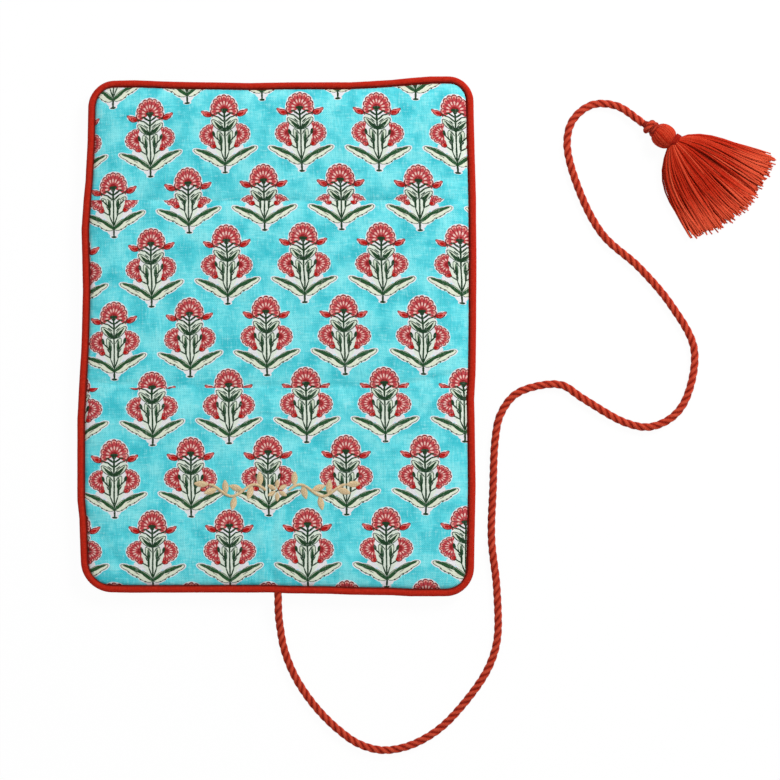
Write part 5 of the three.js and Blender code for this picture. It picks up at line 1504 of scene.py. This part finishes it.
def satin_leaf(parts, sizes, x, y, length, width, turn):
    """One raised leaf in satin stitch on the cover."""
    rings = []
    for k in range(9):
        share = k / 8
        across = width / 2 * math.sin(math.pi * min(max(share, 0.04), 0.96)) ** 0.7
        ring = []
        for j in range(10):
            angle = 2 * math.pi * j / 10
            along, side = length * (share - 0.5), across * math.cos(angle)
            px = x + along * math.cos(turn) - side * math.sin(turn)
            py = y + along * math.sin(turn) + side * math.cos(turn)
            rise = 0.42 * math.sin(angle) * math.sin(math.pi * min(max(share, 0.06), 0.94)) ** 0.5
            ring.append((px, py, cover_height(px, py, sizes) + 0.1 + rise))
        rings.append(ring)
    parts.tube(rings)


def vine_wave(share):
    """A place on the vine's stem, and the turn of the stem there."""
    wave = VINE_WAVES * math.pi * share
    steep = VINE_SWING * VINE_WAVES * math.pi / VINE_RUN * math.cos(wave)
    return VINE_START + VINE_RUN * share, VINE_SWING * math.sin(wave), math.atan(steep)


def make_ornament(sizes, colours):
    """A vine in satin stitch on the front section: a wave with leaves on both sides of a rosette."""
    parts = Parts()
    middle_x, middle_y = VINE_MIDDLE
    for side in (-1, 1):
        line = []
        for k in range(41):
            x, y, _ = vine_wave(k / 40)
            px, py = middle_x + side * x, middle_y + y
            line.append(Vector((px, py, cover_height(px, py, sizes) + 0.16)))
        parts.tube(rings_along(line, [0.4] + [0.75] * 39 + [0.35], 8, 0.7))
        for share, lean in VINE_LEAVES:
            x, y, turn = vine_wave(share)
            turn += math.radians(lean)
            x, y = x + 4.1 * math.cos(turn), y + 4.1 * math.sin(turn)
            satin_leaf(parts, sizes, middle_x + side * x, middle_y + y, 7.4, 3.5,
                       turn if side > 0 else math.pi - turn)
    for petal in range(6):
        turn = math.radians(60 * petal + 30)
        satin_leaf(parts, sizes, middle_x + 3.4 * math.cos(turn), middle_y + 3.4 * math.sin(turn), 4.6, 2.5,
                   turn)
    settle(parts.make("satin_stitch_vine", finish("gold", colours), outward=True), "front_section",
           "printed_cotton")


def make_stage():
    """A white table, soft studio light from the upper right, and the camera straight above."""
    scene = bpy.context.scene
    scene.view_settings.view_transform = "Standard"
    bpy.ops.object.select_all(action="DESELECT")
    bpy.ops.mesh.primitive_plane_add(size=6.0, location=(0.06, -0.03, 0))
    floor = bpy.context.active_object
    floor.name = "table_top"
    material, tree = empty_material("white_table")
    place = add_node(tree, "TexCoord", out=3)
    grain = add_node(tree, "TexNoise", sockets={"Vector": place, "Scale": 40.0})
    tone = overprint(tree, linear("#FFFFFF"), [("#FBFBFB", grain)])
    matt = add_node(tree, "BsdfDiffuse", tone)
    # The camera sees it mostly as plain white, with faint shadows.
    glow = add_node(tree, "Emission", linear("#FFFFFF"), 1.0)
    seen = add_node(tree, "Math", add_node(tree, "LightPath"), 0.96, operation="MULTIPLY")
    add_node(tree, "OutputMaterial", add_node(tree, "MixShader", seen, matt, glow))
    floor.data.materials.append(material)

    world = bpy.data.worlds.new("studio")
    scene.world = world
    world.use_nodes = True
    tree = world.node_tree
    tree.nodes.clear()
    path = add_node(tree, "LightPath").node
    seen = add_node(tree, "Math", path.outputs["Is Camera Ray"], path.outputs["Is Glossy Ray"],
                    operation="MAXIMUM")
    strength = add_node(tree, "Mix", sockets={0: seen, 2: 0.5, 3: 1.0})
    add_node(tree, "OutputWorld", add_node(tree, "Background", linear("#FFFFFF"), strength))

    for name, (place, size, power) in LIGHTS.items():
        light = bpy.data.lights.new(name, "AREA")
        light.shape, light.size, light.energy = "DISK", size, power
        lamp = bpy.data.objects.new(name, light)
        lamp.location = place
        aim = Vector(LIGHT_AIM) - Vector(place)
        lamp.rotation_euler = aim.to_track_quat("-Z", "Y").to_euler()
        scene.collection.objects.link(lamp)

    camera = bpy.data.cameras.new("overhead")
    camera.sensor_width = CAMERA_SENSOR
    camera.lens = CAMERA_SENSOR * CAMERA_DISTANCE / FRAME_WIDTH
    view = bpy.data.objects.new("overhead", camera)
    view.location = CAMERA_PLACE
    scene.collection.objects.link(view)
    scene.camera = view


def dressed(context, maker):
    """Run a maker with the scene's sizes and colours."""
    maker(context.scene.roll_sizes, context.scene.roll_colours)
    return {"FINISHED"}


class ROLL_OT_stage(bpy.types.Operator):
    """Set up the table, the light and the camera."""

    bl_idname = "roll.stage"
    bl_label = "Stage"

    def execute(self, context):
        make_stage()
        return {"FINISHED"}


class ROLL_OT_cord(bpy.types.Operator):
    """Make the twisted cord with its knot and tassel."""

    bl_idname = "roll.cord"
    bl_label = "Cord and tassel"

    def execute(self, context):
        return dressed(context, make_cord)


class ROLL_OT_lining(bpy.types.Operator):
    """Make the wadding and the lining."""

    bl_idname = "roll.lining"
    bl_label = "Wadding and lining"

    def execute(self, context):
        return dressed(context, make_lining)


class ROLL_OT_cover(bpy.types.Operator):
    """Make the printed cover."""

    bl_idname = "roll.cover"
    bl_label = "Printed cover"

    def execute(self, context):
        return dressed(context, make_cover)


class ROLL_OT_piping(bpy.types.Operator):
    """Make the corded piping."""

    bl_idname = "roll.piping"
    bl_label = "Piping"

    def execute(self, context):
        return dressed(context, make_piping)


class ROLL_OT_ornament(bpy.types.Operator):
    """Make the satin-stitched vine."""

    bl_idname = "roll.ornament"
    bl_label = "Embroidered vine"

    def execute(self, context):
        return dressed(context, make_ornament)


class ROLL_OT_pockets(bpy.types.Operator):
    """Make both zipped pockets."""

    bl_idname = "roll.pockets"
    bl_label = "Pockets"

    def execute(self, context):
        return dressed(context, make_pockets)


class ROLL_OT_ring_strap(bpy.types.Operator):
    """Make the strap for rings."""

    bl_idname = "roll.ring_strap"
    bl_label = "Ring strap"

    def execute(self, context):
        return dressed(context, make_ring_strap)


class ROLL_OT_hardware(bpy.types.Operator):
    """Finish the zips and the press stud."""

    bl_idname = "roll.hardware"
    bl_label = "Zips and stud"

    def execute(self, context):
        return dressed(context, make_hardware)


OPERATORS = (ROLL_OT_stage, ROLL_OT_cord, ROLL_OT_lining, ROLL_OT_cover, ROLL_OT_piping, ROLL_OT_ornament,
             ROLL_OT_pockets, ROLL_OT_ring_strap, ROLL_OT_hardware)


class ROLL_PT_panel(bpy.types.Panel):
    """Sidebar panel with the roll's sizes, colours and pieces."""

    bl_idname = "ROLL_PT_panel"
    bl_label = "Jewelry Roll"
    bl_space_type = "VIEW_3D"
    bl_region_type = "UI"
    bl_category = "Jewelry Roll"

    def draw(self, context):
        for group in (context.scene.roll_sizes, context.scene.roll_colours):
            for name in group.__annotations__:
                self.layout.prop(group, name)
        for operator in OPERATORS:
            self.layout.operator(operator.bl_idname)


CLASSES = (RollSizes, RollColours, *OPERATORS, ROLL_PT_panel)


def register():
    """Register the classes and the scene's settings."""
    for item in CLASSES:
        bpy.utils.register_class(item)
    bpy.types.Scene.roll_sizes = bpy.props.PointerProperty(type=RollSizes)
    bpy.types.Scene.roll_colours = bpy.props.PointerProperty(type=RollColours)


def unregister():
    """Take the settings and the classes away again."""
    del bpy.types.Scene.roll_colours
    del bpy.types.Scene.roll_sizes
    for item in reversed(CLASSES):
        bpy.utils.unregister_class(item)


def main():
    """Make the whole roll."""
    register()
    for operator in OPERATORS:
        group, name = operator.bl_idname.split(".")
        getattr(getattr(bpy.ops, group), name)()
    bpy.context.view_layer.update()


if __name__ == "__main__":
    main()
